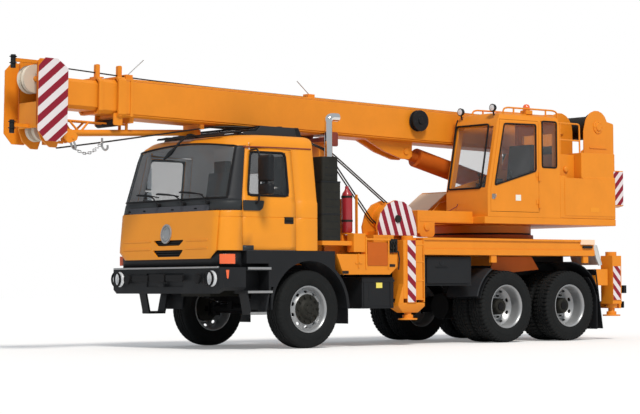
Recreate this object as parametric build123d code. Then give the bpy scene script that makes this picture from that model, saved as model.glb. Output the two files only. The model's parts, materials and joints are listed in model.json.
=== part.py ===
"""Mobile crane on a three-axle truck, as separate pieces in millimetres.

+X forward, +Y left, +Z up. The origin is on the ground under the middle of the overall length.
"""
from build123d import *
import math
import os

# ---------------------------------------------------------------- driving dimensions
RUN = 0.3                    # running gap of a pin, shaft or slider in its seat
CLEAR = 6                    # gap of a door or a housing that passes another piece

# wheels and axles
TYRE_RADIUS = 522
TYRE_WIDTH = 305
RIM_RADIUS = 290
RIM_WALL = 14
RIM_HALF = 118               # half the width between the rim's flanges
RIM_FLANGE = 14
RIM_LIP = 22
FRONT_AXLE_X = 1400
WHEELBASE = 3700
BOGIE_SPACING = 1320
REAR_AXLES_X = (FRONT_AXLE_X - WHEELBASE, FRONT_AXLE_X - WHEELBASE - BOGIE_SPACING)
BODY_HALF = 1250
FRONT_TRACK_HALF = BODY_HALF - TYRE_WIDTH / 2 - 37.5     # middle of a front tyre
TWIN_OUTER_HALF = BODY_HALF - TYRE_WIDTH / 2 - 14.5      # middle of an outer rear tyre
TWIN_PITCH = 338             # middle to middle of twin tyres
KINGPIN_HALF = FRONT_TRACK_HALF - 180
KINGPIN_RADIUS = 45
STUB_RADIUS = 42
AXLE_TUBE_RADIUS = 62
REAR_STUB_RADIUS = 55
HUB_RADIUS = 125

# chassis
RAIL_OUTER = 470
RAIL_FLANGE = 80
RAIL_WALL = 12
RAIL_BOTTOM = 860
RAIL_HEIGHT = 260
BUMPER_BOTTOM = 740
BUMPER_TOP = 1080
BUMPER_WALL = 60
BUMPER_WING = 400            # how far the bumper's ends reach back
LAMP_RADIUS = 90
LAMP_HALF = BODY_HALF - 195

# truck cab
CAB_FRONT_X = FRONT_AXLE_X + 1490
CAB_REAR_X = FRONT_AXLE_X - 130
CAB_HALF = BODY_HALF - 25
CAB_FLOOR = 1300
CAB_NOSE_BOTTOM = 1126
CAB_BELT = 1950
SCREEN_TOP = 2655
CAB_ROOF = 2835
CAB_WALL = 45
CAB_CORNER = 240
ROOF_EDGE = 110
SIDE_LEAN = 95               # how far the cab's side leans in above the belt
SCREEN_LEAN = 290            # how far the windscreen leans back
DOOR_FRONT_X = FRONT_AXLE_X + 1130
DOOR_REAR_X = FRONT_AXLE_X + 235
DOOR_BOTTOM = 1365
DOOR_TOP = 2640
WINDOW_BOTTOM = CAB_BELT + 70
WINDOW_TOP = 2600
GLASS = 8
HINGE_RADIUS = 14
HINGE_LENGTH = 60
HINGE_LEAF = 8

# deck and outriggers
DECK_REAR_X = REAR_AXLES_X[1] - 510
DECK_BOTTOM = 1260
DECK_TOP = 1500
DECK_LIP = 90
DECK_PLATE = 20

BOX_TOP = 1530
BOX_WALL = 20
BEAM_WIDTH = 320
BEAM_HEIGHT = 230
FRONT_BEAM_X = FRONT_AXLE_X - WHEELBASE / 2 + 10
BOX_FRONT_X = FRONT_BEAM_X + 910
FRONT_BEAM_PITCH = 500
REAR_BEAM_X = REAR_AXLES_X[1] - 1010
REAR_BEAM_PITCH = 290
REAR_BEAM_WIDTH = 220
REAR_BEAM_HEIGHT = 200
REAR_BOX_BOTTOM = 820
LEG_OUTER = BODY_HALF
LEG_DEPTH = 240
LEG_BOTTOM = 590
LEG_TOP = 1385
JACK_RADIUS = 50
PAD_RADIUS = 135
PAD_BOTTOM = 355
PAD_THICKNESS = 22

# slewing superstructure
SLEW_X = FRONT_AXLE_X - WHEELBASE - BOGIE_SPACING / 2
RING_RADIUS = 765
RING_HEIGHT = 105
TURRET_FLOOR = 1720
TURRET_PLATE = 100
TURRET_FRONT_X = FRONT_BEAM_X - 320
TURRET_REAR_X = SLEW_X - 1660
CHEEK_INNER = 290
CHEEK_WALL = 24
PIVOT_X = SLEW_X - 1440
PIVOT_Z = 3220
PIVOT_RADIUS = 60
WINCH_X = SLEW_X - 1950
WINCH_Z = 3280
WINCH_HALF = 590
WINCH_RADIUS = 195
WINCH_PLATE = 25

# crane cab
CRANE_CAB_FRONT_X = SLEW_X + 1060
CRANE_CAB_REAR_X = SLEW_X - 440
CRANE_CAB_INNER = 385
CRANE_CAB_WALL = 40
CRANE_CAB_ROOF = 3350
CRANE_CAB_LEAN = 200
CRANE_DOOR_FRONT_X = CRANE_CAB_FRONT_X - 65
CRANE_DOOR_REAR_X = CRANE_CAB_REAR_X + 450
CRANE_DOOR_BOTTOM = 1900
CRANE_DOOR_TOP = 3235
CRANE_DOOR_DEPTH = BODY_HALF - CRANE_CAB_WALL - 25      # inner face of the leaf's edge

# boom, in its own frame: u forward from the pivot, w up from the pivot
BOOM_TILT = 1.35             # degrees above level on its rest
BOOM_HALF = 250
BOOM_TOP = 143
BOOM_BOTTOM = -366
BOOM_WALL = 10
BOOM_STEP = 30               # from one section's outside to the next one's
BOOM_CHAMFER = 45
BASE_FRONT = 8220
MID_FRONT = 8500
MID_REAR = 560
TIP_REAR = 760
HEAD_REAR = 9115
HEAD_FRONT = 9420
HEAD_TOP = 290
HEAD_BOTTOM = -830
HEAD_HALF = 235
HEAD_PLATE = 22
SIGN_HALF = 400
LIFT_TOP_U = 3050
LIFT_TOP_W = -500
LIFT_FOOT_X = SLEW_X - 840
LIFT_FOOT_Z = 2190
BARREL_RADIUS = 140
BARREL_START = 300           # from the pin to the thick part of the barrel
BARREL_LENGTH = 1900
LIFT_ROD_RADIUS = 75
LIFT_PIN_RADIUS = 45
LIFT_EYE_RADIUS = 85
LIFT_EYE_WIDTH = 160

RIGHT_AND_LEFT = (("left", 1), ("right", -1))


# places and sizes that follow from those
RAIL_FRONT_X = CAB_FRONT_X + 10 - BUMPER_WALL
REAR_CELL_FRONT_X = REAR_BEAM_X + REAR_BEAM_PITCH + REAR_BEAM_WIDTH / 2 + CLEAR
RAIL_REAR_X = REAR_CELL_FRONT_X + BOX_WALL
RAIL_TOP = RAIL_BOTTOM + RAIL_HEIGHT
LOCKER_INNER = 780
LOCKER_FRONT_X = FRONT_BEAM_X - 270
LOCKER_REAR_X = REAR_AXLES_X[0] + TYRE_RADIUS + 158
LEFT_HANGERS_X = (FRONT_BEAM_X + 590, LOCKER_FRONT_X - 140, LOCKER_REAR_X + 170)
RIGHT_HANGERS_X = (FRONT_BEAM_X + 20, LOCKER_FRONT_X - 140, LOCKER_REAR_X + 170)
ENGINE_FRONT_X = CAB_FRONT_X - 250
ENGINE_LENGTH = 1150
ENGINE_HALF = 330
ENGINE_BOTTOM = 700
ENGINE_TOP = 1250
LAMP_Z = 935
TOW_Z = 880
TOW_PIN_RADIUS = 20
DOOR_HINGES_Z = (1520, 1880)
MIRROR_X = FRONT_AXLE_X + 920
MIRROR_INNER = CAB_HALF + 85
ARCH_RADIUS = 645
ARCH_BAND = 45
STEP_FRONT_X = FRONT_AXLE_X + 1070
STEP_REAR_X = FRONT_AXLE_X + ARCH_RADIUS + 20
FLAP_X = FRONT_AXLE_X - ARCH_RADIUS - 14
STEP_BOTTOM = 735
STIRRUP_BOTTOM = 460
FLAP_BOTTOM = 320
MUDFLAP_BOTTOM = 165
EXHAUST_Y = BODY_HALF - 200
EXHAUST_REAR_X = CAB_REAR_X - 455
EXHAUST_FRONT_X = CAB_REAR_X - 110
SHELF_Z = 1440
FRAME_LOW = 985
STACK_X = CAB_REAR_X - 350
STACK_TOP = 3185
STACK_RADIUS = 56
BOTTLE_X = CAB_REAR_X - 705
BOTTLE_RADIUS = 75
BOTTLE_BOTTOM = 1555
BOTTLE_HEIGHT = 595
BOTTLE_Y = BODY_HALF - 235
REST_X = FRONT_BEAM_X + 660
FRONT_BEAM_LOW = BOX_TOP - BOX_WALL - CLEAR - BEAM_HEIGHT
REAR_BEAM_LOW = REAR_BOX_BOTTOM + BOX_WALL
RING_TOP = DECK_TOP + RING_HEIGHT + RUN
TURRET_TOP = TURRET_FLOOR + TURRET_PLATE
PLATFORM_INNER = 550
CRANE_HINGES_Z = (2020, 2420)
WINCH_BASE = 2570
JIB_REAR_U = 6750
JIB_FRONT_U = 8960
JIB_W = -470
JIB_TUBE = 38
JIB_PIN_RADIUS = 20
SHEAVE_SHAFT = 35
SHEAVES = (                  # place on the head (u, w), radius, and the middles in y
    (HEAD_REAR + 130, HEAD_BOTTOM + 230, 150, (-75, 75)),
    (HEAD_FRONT - 60, 40, 185, (-50, 50)))


# ---------------------------------------------------------------- helpers
def solid(outline, direction):
    """Prism of a closed outline of 3-D points."""
    return Solid.extrude(Face(Wire.make_polygon(outline, close=True)), Vector(*direction))


def side_prism(outline, y0, y1):
    """Outline of (x, z) points, from y0 to y1."""
    return solid([(x, y0, z) for x, z in outline], (0, y1 - y0, 0))


def plan_prism(outline, z0, z1):
    """Outline of (x, y) points, from z0 to z1."""
    return solid([(x, y, z0) for x, y in outline], (0, 0, z1 - z0))


def front_prism(outline, x0, x1):
    """Outline of (y, z) points, from x0 to x1."""
    return solid([(x0, y, z) for y, z in outline], (x1 - x0, 0, 0))


def block(x0, x1, y0, y1, z0, z1):
    """Box between two corners, given in any order."""
    low = (min(x0, x1), min(y0, y1), min(z0, z1))
    return Solid.make_box(abs(x1 - x0), abs(y1 - y0), abs(z1 - z0)).moved(Location(low))


def bar(start, end, radius):
    """Round bar from one point to another."""
    a = Vector(*start)
    b = Vector(*end)
    return Solid.make_cylinder(radius, (b - a).length, Plane(origin=a, z_dir=b - a))


def ring(start, end, radius, bore):
    """Round tube from one point to another."""
    a = Vector(*start)
    b = Vector(*end)
    over = (b - a).normalized() * 1
    return join(bar(start, end, radius)) - bar(tuple(a - over), tuple(b + over), bore)


def join(*pieces):
    """One part from pieces that touch or overlap."""
    whole = Part() + pieces[0]
    for piece in pieces[1:]:
        whole = whole + piece
    return whole


def turned(profile, x, z):
    """Ring turned about an axis along Y through (x, z), from (y, radius) points."""
    face = Face(Wire.make_polygon([(x, y, z + r) for y, r in profile], close=True))
    return Part() + revolve(face, axis=Axis((x, 0, z), (0, 1, 0)))


def save(name, shape):
    os.makedirs("parts", exist_ok=True)
    export_step(shape, f"parts/{name}.step")


def on_boom(shape):
    """Tilt a shape, drawn level about the pivot, to the boom's resting angle."""
    return shape.rotate(Axis((PIVOT_X, 0, PIVOT_Z), (0, 1, 0)), -BOOM_TILT)


def boom_point(u, w):
    """Row-frame (x, z) of a point of the boom's own frame."""
    c = math.cos(math.radians(BOOM_TILT))
    s = math.sin(math.radians(BOOM_TILT))
    return PIVOT_X + u * c - w * s, PIVOT_Z + u * s + w * c


# ---------------------------------------------------------------- wheels, axles and knuckles
def tyre(x, y):
    """One tyre with rounded shoulders and sidewalls."""
    half = TYRE_WIDTH / 2
    bead = RIM_RADIUS + RUN
    seat = RIM_HALF - RUN
    lip = RIM_RADIUS + RIM_LIP + RUN
    right = [(seat, bead), (seat, lip), (half - 6, lip + 20), (half, bead + 120), (half - 12, TYRE_RADIUS - 38),
             (half - 40, TYRE_RADIUS - 6), (half - 70, TYRE_RADIUS)]
    profile = right + [(-a, r) for a, r in reversed(right)]
    return turned([(y + a, r) for a, r in profile], x, TYRE_RADIUS)


def rim_barrel(x, y):
    """The rim's well and flanges under one tyre."""
    lip = RIM_RADIUS + RIM_LIP
    edge = RIM_HALF + RIM_FLANGE
    profile = [
        (-edge, lip), (-edge, RIM_RADIUS - RIM_WALL), (edge, RIM_RADIUS - RIM_WALL), (edge, lip),
        (RIM_HALF, lip), (RIM_HALF, RIM_RADIUS), (-RIM_HALF, RIM_RADIUS), (-RIM_HALF, lip)]
    return turned([(y + a, r) for a, r in profile], x, TYRE_RADIUS)


def hand_holes(disc, x, radius, hole, count):
    """Cut a circle of holes through a wheel disc."""
    for i in range(count):
        angle = 2 * math.pi * (i + 0.5) / count
        hx = x + radius * math.cos(angle)
        hz = TYRE_RADIUS + radius * math.sin(angle)
        disc = disc - bar((hx, -2 * BODY_HALF, hz), (hx, 2 * BODY_HALF, hz), hole)
    return disc


def front_rim(x, side):
    """Front wheel: its disc bulges outward, with a hub in the middle."""
    y = side * FRONT_TRACK_HALF
    bore = STUB_RADIUS + RUN
    profile = [
        (y - side * 20, RIM_RADIUS - RIM_WALL), (y + side * 10, RIM_RADIUS - RIM_WALL),
        (y + side * 75, 200), (y + side * 85, HUB_RADIUS), (y + side * 115, HUB_RADIUS - 20),
        (y + side * 115, bore), (y - side * 68, bore), (y - side * 68, HUB_RADIUS),
        (y + side * 55, HUB_RADIUS + 5), (y + side * 48, 195)]
    disc = hand_holes(turned(profile, x, TYRE_RADIUS), x, 235, 26, 10)
    return join(rim_barrel(x, y), disc)


def rear_rim(x, side):
    """Twin rear wheels on one hub: both discs meet between the tyres, and the outer rim is deep."""
    outer = side * TWIN_OUTER_HALF
    inner = side * (TWIN_OUTER_HALF - TWIN_PITCH)
    middle = (outer + inner) / 2
    bore = REAR_STUB_RADIUS + RUN
    profile = [
        (middle + side * 45, RIM_RADIUS - RIM_WALL), (middle + side * 14, 200), (middle + side * 14, HUB_RADIUS),
        (middle + side * 150, HUB_RADIUS - 15), (middle + side * 165, HUB_RADIUS - 40),
        (middle + side * 165, bore), (inner, bore), (inner, HUB_RADIUS), (middle - side * 14, HUB_RADIUS),
        (middle - side * 14, 200), (middle - side * 45, RIM_RADIUS - RIM_WALL)]
    disc = hand_holes(turned(profile, x, TYRE_RADIUS), x, 235, 26, 8)
    spacer = turned([
        (middle - side * 60, RIM_RADIUS - RIM_WALL), (middle + side * 60, RIM_RADIUS - RIM_WALL),
        (middle + side * 60, RIM_RADIUS - 2 * RIM_WALL), (middle - side * 60, RIM_RADIUS - 2 * RIM_WALL)],
        x, TYRE_RADIUS)
    return join(rim_barrel(x, outer), rim_barrel(x, inner), spacer, disc)


def make_wheels():
    for name, side in RIGHT_AND_LEFT:
        save(f"tyre_front_{name}", tyre(FRONT_AXLE_X, side * FRONT_TRACK_HALF))
        save(f"rim_front_{name}", front_rim(FRONT_AXLE_X, side))
        for number, x in enumerate(REAR_AXLES_X, start=1):
            twins = Part() + [tyre(x, side * TWIN_OUTER_HALF), tyre(x, side * (TWIN_OUTER_HALF - TWIN_PITCH))]
            save(f"twin_tyres_{number}_{name}", twins)
            save(f"twin_rims_{number}_{name}", rear_rim(x, side))


def knuckle(side):
    """Steering knuckle: a fork about the axle's boss, with a stub for the wheel and a steering arm."""
    x = FRONT_AXLE_X
    z = TYRE_RADIUS
    y = side * KINGPIN_HALF
    boss = 70
    arm = 26
    pieces = [bar((x, y, z + side_z * (boss + RUN)), (x, y, z + side_z * (boss + arm)), KINGPIN_RADIUS + 25)
              for side_z in (-1, 1)]
    web_near = y + side * (KINGPIN_RADIUS + 25 + CLEAR)
    pieces.append(block(x - 55, x + 55, web_near, web_near + side * 25, z - boss - arm, z + boss + arm))
    for side_z in (-1, 1):
        low = z + side_z * (boss + RUN)
        pieces.append(block(x - 40, x + 40, y, web_near + side * 25, low, z + side_z * (boss + arm)))
    pieces.append(bar((x, web_near, z), (x, side * (FRONT_TRACK_HALF + 105), z), STUB_RADIUS))
    pieces.append(block(x - 260, x, y - 22, y + 22, z + boss + RUN, z + boss + arm))
    return join(*pieces)


def leaf_spring(x, y, half_length, z0, z1, longest_low):
    """Leaf pack: a stack of leaves that shorten upwards or downwards."""
    leaves = 4
    step = (z1 - z0) / leaves
    pieces = []
    for i in range(leaves):
        rank = leaves - i if longest_low else i + 1
        reach = half_length * (0.4 + 0.6 * rank / leaves)
        pieces.append(block(x - reach, x + reach, y - 45, y + 45, z0 + i * step, z0 + (i + 1) * step))
    return join(*pieces)


def make_axles():
    z = TYRE_RADIUS
    spring_y = RAIL_OUTER - RAIL_FLANGE / 2
    spring_low = z + AXLE_TUBE_RADIUS + 40
    spring_high = spring_low + 90
    # front axle: a beam between the kingpins, on a leaf spring under each rail
    x = FRONT_AXLE_X
    beam = [bar((x, -KINGPIN_HALF, z), (x, KINGPIN_HALF, z), AXLE_TUBE_RADIUS)]
    for side in (1, -1):
        y = side * KINGPIN_HALF
        beam.append(bar((x, y, z - 70), (x, y, z + 70), KINGPIN_RADIUS + 20))
        beam.append(block(x - 90, x + 90, side * (spring_y - 45), side * (spring_y + 45), z, spring_low))
        beam.append(leaf_spring(x, side * spring_y, 560, spring_low, spring_high, False))
        for end in (-1, 1):
            beam.append(block(x + end * 560, x + end * 500, side * (spring_y - 35), side * (spring_y + 35),
                              spring_high - 30, RAIL_BOTTOM))
    beam.append(bar((x - 240, -KINGPIN_HALF + 140, z + 40), (x - 240, KINGPIN_HALF - 140, z + 40), 18))
    for side in (1, -1):
        beam.append(block(x - 260, x - 40, side * 580, side * 610, z + 20, z + 55))
    front = join(*beam)
    # rear axles: housings with a bowl in the middle, under one long spring on each side
    rears = []
    for rear_x in REAR_AXLES_X:
        rears.append(bar((rear_x, -560, z), (rear_x, 560, z), 90))
        stub = TWIN_OUTER_HALF + 20
        rears.append(bar((rear_x, -stub, z), (rear_x, stub, z), REAR_STUB_RADIUS))
        rears.append(bar((rear_x - 150, 0, z), (rear_x + 190, 0, z), 190))
        for side in (1, -1):
            rears.append(block(rear_x - 80, rear_x + 80, side * (spring_y - 45), side * (spring_y + 45),
                               z, spring_low))
    for side in (1, -1):
        rears.append(leaf_spring(SLEW_X, side * spring_y, BOGIE_SPACING / 2 + 90, spring_low, spring_high, True))
        rears.append(block(SLEW_X - 120, SLEW_X + 120, side * (spring_y - 55), side * (spring_y + 55),
                           spring_high, RAIL_BOTTOM))
    save("axles_and_springs", Part() + [front, join(*rears)])


# ---------------------------------------------------------------- chassis


def make_chassis():
    pieces = []
    for side in (1, -1):
        outer = side * RAIL_OUTER
        inner = side * (RAIL_OUTER - RAIL_FLANGE)
        pieces.append(block(RAIL_REAR_X, RAIL_FRONT_X, outer, outer - side * RAIL_WALL, RAIL_BOTTOM, RAIL_TOP))
        for z in (RAIL_BOTTOM, RAIL_TOP - RAIL_WALL):
            pieces.append(block(RAIL_REAR_X, RAIL_FRONT_X, outer, inner, z, z + RAIL_WALL))
    for x in (RAIL_FRONT_X - 150, 900, -300, -1400, SLEW_X, -3900):
        pieces.append(block(x - 40, x + 40, RAIL_WALL - RAIL_OUTER, RAIL_OUTER - RAIL_WALL,
                            RAIL_BOTTOM + 40, RAIL_TOP - 40))
    # mounts between the rails and the cab floor
    for x in (CAB_REAR_X + 130, CAB_FRONT_X - 420):
        for side in (1, -1):
            pieces.append(block(x - 60, x + 60, side * (RAIL_OUTER - RAIL_FLANGE), side * RAIL_OUTER,
                                RAIL_TOP, CAB_FLOOR))
    # hangers for the lockers between the axles
    for side, hangers in ((1, LEFT_HANGERS_X), (-1, RIGHT_HANGERS_X)):
        for x in hangers:
            pieces.append(block(x - 20, x + 20, side * RAIL_OUTER, side * LOCKER_INNER,
                                RAIL_BOTTOM + 60, RAIL_BOTTOM + 140))
    save("chassis_frame", join(*pieces))


def make_engine():
    rear = ENGINE_FRONT_X - ENGINE_LENGTH
    body = block(rear, ENGINE_FRONT_X - 250, -ENGINE_HALF, ENGINE_HALF, ENGINE_BOTTOM, ENGINE_TOP)
    feet = []
    for x in (rear + 200, ENGINE_FRONT_X - 500):
        for side in (1, -1):
            feet.append(block(x - 50, x + 50, side * ENGINE_HALF, side * (RAIL_OUTER - RAIL_WALL),
                              RAIL_BOTTOM + 60, RAIL_BOTTOM + 110))
    save("engine", join(body, *feet))


def make_bumper():
    """Wrap-round bumper with lamp pockets, a middle recess and a towing jaw."""
    front = CAB_FRONT_X + 10
    rear = front - BUMPER_WING
    cut = 35
    outline = [(rear, -BODY_HALF), (rear, BODY_HALF), (front - cut, BODY_HALF), (front, BODY_HALF - cut),
               (front, cut - BODY_HALF), (front - cut, -BODY_HALF)]
    inner = [(rear - 1, -BODY_HALF + BUMPER_WALL), (rear - 1, BODY_HALF - BUMPER_WALL),
             (front - cut - BUMPER_WALL, BODY_HALF - BUMPER_WALL),
             (front - BUMPER_WALL, BODY_HALF - cut - BUMPER_WALL),
             (front - BUMPER_WALL, -BODY_HALF + cut + BUMPER_WALL),
             (front - cut - BUMPER_WALL, -BODY_HALF + BUMPER_WALL)]
    shell = Part() + plan_prism(outline, BUMPER_BOTTOM, BUMPER_TOP)
    shell = shell - plan_prism(inner, BUMPER_BOTTOM - 1, BUMPER_TOP + 1)
    shell = shell - block(front - 18, front + 1, -420, 420, BUMPER_BOTTOM + 90, BUMPER_TOP - 70)
    for side in (1, -1):
        y = side * LAMP_HALF
        shell = shell - bar((front - BUMPER_WALL - 1, y, LAMP_Z), (front + 1, y, LAMP_Z), LAMP_RADIUS + RUN)
        foot = [(side * BODY_HALF, BUMPER_BOTTOM - 1), (side * (BODY_HALF - 110), BUMPER_BOTTOM - 1),
                (side * BODY_HALF, BUMPER_BOTTOM + 80)]
        shell = shell - front_prism(foot, rear - 1, front + 1)
    # towing jaw with a vertical pin bore
    jaw = join(block(front - 18, front + 70, -60, 60, TOW_Z - 45, TOW_Z + 45))
    jaw = jaw - block(front + 5, front + 71, -61, 61, TOW_Z - 20, TOW_Z + 20)
    jaw = jaw - bar((front + 40, 0, TOW_Z - 60), (front + 40, 0, TOW_Z + 60), TOW_PIN_RADIUS)
    save("front_bumper", join(shell, jaw))


def make_lamps():
    """Head lamps in the bumper's pockets, each with a flange on the bumper's face."""
    front = CAB_FRONT_X + 10
    lamps = []
    for side in (1, -1):
        y = side * LAMP_HALF
        lens = bar((front - BUMPER_WALL, y, LAMP_Z), (front + 14, y, LAMP_Z), LAMP_RADIUS)
        flange = bar((front, y, LAMP_Z), (front + 8, y, LAMP_Z), LAMP_RADIUS + 14)
        lamps.append(join(lens, flange))
    save("head_lamps", Part() + lamps)


# ---------------------------------------------------------------- truck cab
def cab_volume(inset):
    """The cab's outer form, or the same form shrunk by a wall."""
    front = CAB_FRONT_X - inset
    rear = CAB_REAR_X + inset
    low = CAB_FLOOR + inset
    nose = CAB_NOSE_BOTTOM + inset
    roof = CAB_ROOF - inset
    half = CAB_HALF - inset
    side = [(rear, low), (DOOR_FRONT_X + inset, low), (DOOR_FRONT_X + 60 + inset, nose), (front, nose),
            (front, CAB_BELT), (front - SCREEN_LEAN, SCREEN_TOP - inset * 0.4), (front - SCREEN_LEAN - 150, roof - 35),
            (front - SCREEN_LEAN - 320, roof), (rear + 90, roof), (rear, roof - 60)]
    plan = [(rear, -half), (rear, half), (front - CAB_CORNER, half), (front - 0.3 * CAB_CORNER, half - 0.35 * CAB_CORNER),
            (front, half - CAB_CORNER), (front, CAB_CORNER - half),
            (front - 0.3 * CAB_CORNER, 0.35 * CAB_CORNER - half), (front - CAB_CORNER, -half)]
    top = half - SIDE_LEAN
    across = [(-half, nose - 1), (half, nose - 1), (half, CAB_BELT), (top, SCREEN_TOP + 40),
              (top - 0.35 * ROOF_EDGE, roof - 0.3 * ROOF_EDGE), (top - ROOF_EDGE, roof),
              (ROOF_EDGE - top, roof), (0.35 * ROOF_EDGE - top, roof - 0.3 * ROOF_EDGE),
              (-top, SCREEN_TOP + 40), (-half, CAB_BELT)]
    body = Part() + side_prism(side, -half - 1, half + 1)
    body = body & plan_prism(plan, nose - 1, roof + 1)
    return body & front_prism(across, rear - 1, front + 1)


def door_outline(gap):
    """Side outline of a door, grown by a gap."""
    lean = (DOOR_TOP - CAB_BELT) * SCREEN_LEAN / (SCREEN_TOP - CAB_BELT)
    return [(DOOR_REAR_X - gap, DOOR_BOTTOM - gap), (DOOR_FRONT_X + gap, DOOR_BOTTOM - gap),
            (DOOR_FRONT_X + gap, CAB_BELT), (DOOR_FRONT_X - 0.35 * lean + gap, DOOR_TOP + gap),
            (DOOR_REAR_X - gap, DOOR_TOP + gap)]


def window_outline(inset):
    """Side outline of a door's window."""
    lean = (WINDOW_TOP - WINDOW_BOTTOM) * 0.35 * SCREEN_LEAN / (SCREEN_TOP - CAB_BELT)
    front = DOOR_FRONT_X - 85
    return [(DOOR_REAR_X + 110 + inset, WINDOW_BOTTOM + inset), (front - inset, WINDOW_BOTTOM + inset),
            (front - lean - inset, WINDOW_TOP - inset), (DOOR_REAR_X + 110 + inset, WINDOW_TOP - inset)]


def screen_outline(inset):
    """Front outline of the windscreen, in (y, z)."""
    low = CAB_BELT + 20 + inset
    high = SCREEN_TOP - 30 - inset
    wide = CAB_HALF - CAB_CORNER - 20 - inset
    return [(-wide, low), (wide, low), (wide - 40, high), (40 - wide, high)]


def rear_window_outline(inset):
    return [(-620 + inset, 2150 + inset), (620 - inset, 2150 + inset),
            (620 - inset, 2560 - inset), (-620 + inset, 2560 - inset)]


def hinges(x, y, z_list, upper):
    """Hinge knuckles on one vertical axis: the upper half of each pair, or the lower half."""
    found = []
    for z in z_list:
        start = z + RUN / 2 if upper else z - HINGE_LENGTH
        found.append(bar((x, y, start), (x, y, start + HINGE_LENGTH - RUN / 2), HINGE_RADIUS))
    return found


def make_truck_cab():
    outer = cab_volume(0)
    shell = outer - cab_volume(CAB_WALL)
    shell = shell - side_prism(door_outline(CLEAR), -2 * CAB_HALF, 2 * CAB_HALF)
    shell = shell - front_prism(screen_outline(0), CAB_FRONT_X - SCREEN_LEAN - 200, CAB_FRONT_X + 50)
    shell = shell - front_prism(rear_window_outline(0), CAB_REAR_X - 50, CAB_REAR_X + 100)
    pieces = [shell]
    for side in (1, -1):
        y = side * (CAB_HALF + HINGE_RADIUS + 1)
        for z in DOOR_HINGES_Z:
            pieces.append(block(DOOR_FRONT_X, DOOR_FRONT_X + 60, side * CAB_HALF, side * (CAB_HALF + HINGE_LEAF),
                                z - HINGE_LENGTH, z - RUN))
        pieces.extend(hinges(DOOR_FRONT_X, y, DOOR_HINGES_Z, False))
    save("truck_cab", join(*pieces))


def door_panel(side):
    """One door: the cab's own side skin and wall, as thick as the cab's wall, with the window cut."""
    wall = cab_volume(0) - cab_volume(CAB_WALL)
    leaf = wall & side_prism(door_outline(0), side * 0.5 * CAB_HALF, side * 1.5 * CAB_HALF)
    leaf = leaf - side_prism(window_outline(0), side * 0.5 * CAB_HALF, side * 1.5 * CAB_HALF)
    y = side * (CAB_HALF + HINGE_RADIUS + 1)
    pieces = [leaf]
    for z in DOOR_HINGES_Z:
        pieces.append(block(DOOR_FRONT_X - 60, DOOR_FRONT_X, side * CAB_HALF, side * (CAB_HALF + HINGE_LEAF),
                            z + RUN, z + HINGE_LENGTH))
    pieces.extend(hinges(DOOR_FRONT_X, y, DOOR_HINGES_Z, True))
    return join(*pieces)


def side_pane(outline, side):
    """Glass in the middle of the cab's wall, following its lean."""
    wall = cab_volume(CAB_WALL / 2 - GLASS / 2) - cab_volume(CAB_WALL / 2 + GLASS / 2)
    return wall & side_prism(outline, side * 0.5 * CAB_HALF, side * 1.5 * CAB_HALF)


def door_mirror(side):
    """Two mirror housings on arms that stand out from the door, above and below its window."""
    x = MIRROR_X
    tall = block(x - 40, x + 45, side * (MIRROR_INNER + 10), side * (MIRROR_INNER + 270), 2190, 2540)
    wide = block(x - 40, x + 45, side * (MIRROR_INNER + 10), side * (MIRROR_INNER + 280), 2020, 2165)
    low = WINDOW_BOTTOM - 25
    high = (WINDOW_TOP + DOOR_TOP) / 2
    spine = bar((x, side * MIRROR_INNER, low), (x, side * MIRROR_INNER, high), 14)
    rise = (high - CAB_BELT) / (SCREEN_TOP + 40 - CAB_BELT)
    return join(tall, wide, spine,
                bar((x, side * MIRROR_INNER, low), (x, side * (CAB_HALF - 20), low), 12),
                bar((x, side * MIRROR_INNER, high), (x, side * (CAB_HALF - rise * SIDE_LEAN - 12), high), 12))


def make_doors():
    for name, side in RIGHT_AND_LEFT:
        save(f"door_{name}", join(door_panel(side), door_mirror(side)))
        save(f"door_glass_{name}", side_pane(window_outline(RUN), side))


def make_cab_glass():
    wall = cab_volume(CAB_WALL / 2 - GLASS / 2) - cab_volume(CAB_WALL / 2 + GLASS / 2)
    screen = wall & front_prism(screen_outline(RUN), CAB_FRONT_X - SCREEN_LEAN - 150, CAB_FRONT_X)
    back = wall & front_prism(rear_window_outline(RUN), CAB_REAR_X, CAB_REAR_X + 90)
    save("cab_glass", Part() + [screen, back])


def make_front_panel():
    """Front mask with lower corners cut off and two slots for cooling air."""
    half = CAB_HALF - CAB_CORNER
    face = CAB_FRONT_X
    outline = [(-half, 1830), (half, 1830), (half, 1400), (half - 90, 1280), (90 - half, 1280), (-half, 1400)]
    mask = Part() + front_prism(outline, face, face + 24)
    for side in (1, -1):
        slot = [(side * 120, 1500), (side * 640, 1500), (side * 560, 1350), (side * 160, 1350)]
        mask = mask - front_prism(slot, face - 1, face + 25)
    for z in (1385, 1450):
        mask = mask + block(face, face + 14, -650, 650, z, z + 14)
    save("grille_panel", mask)


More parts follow.
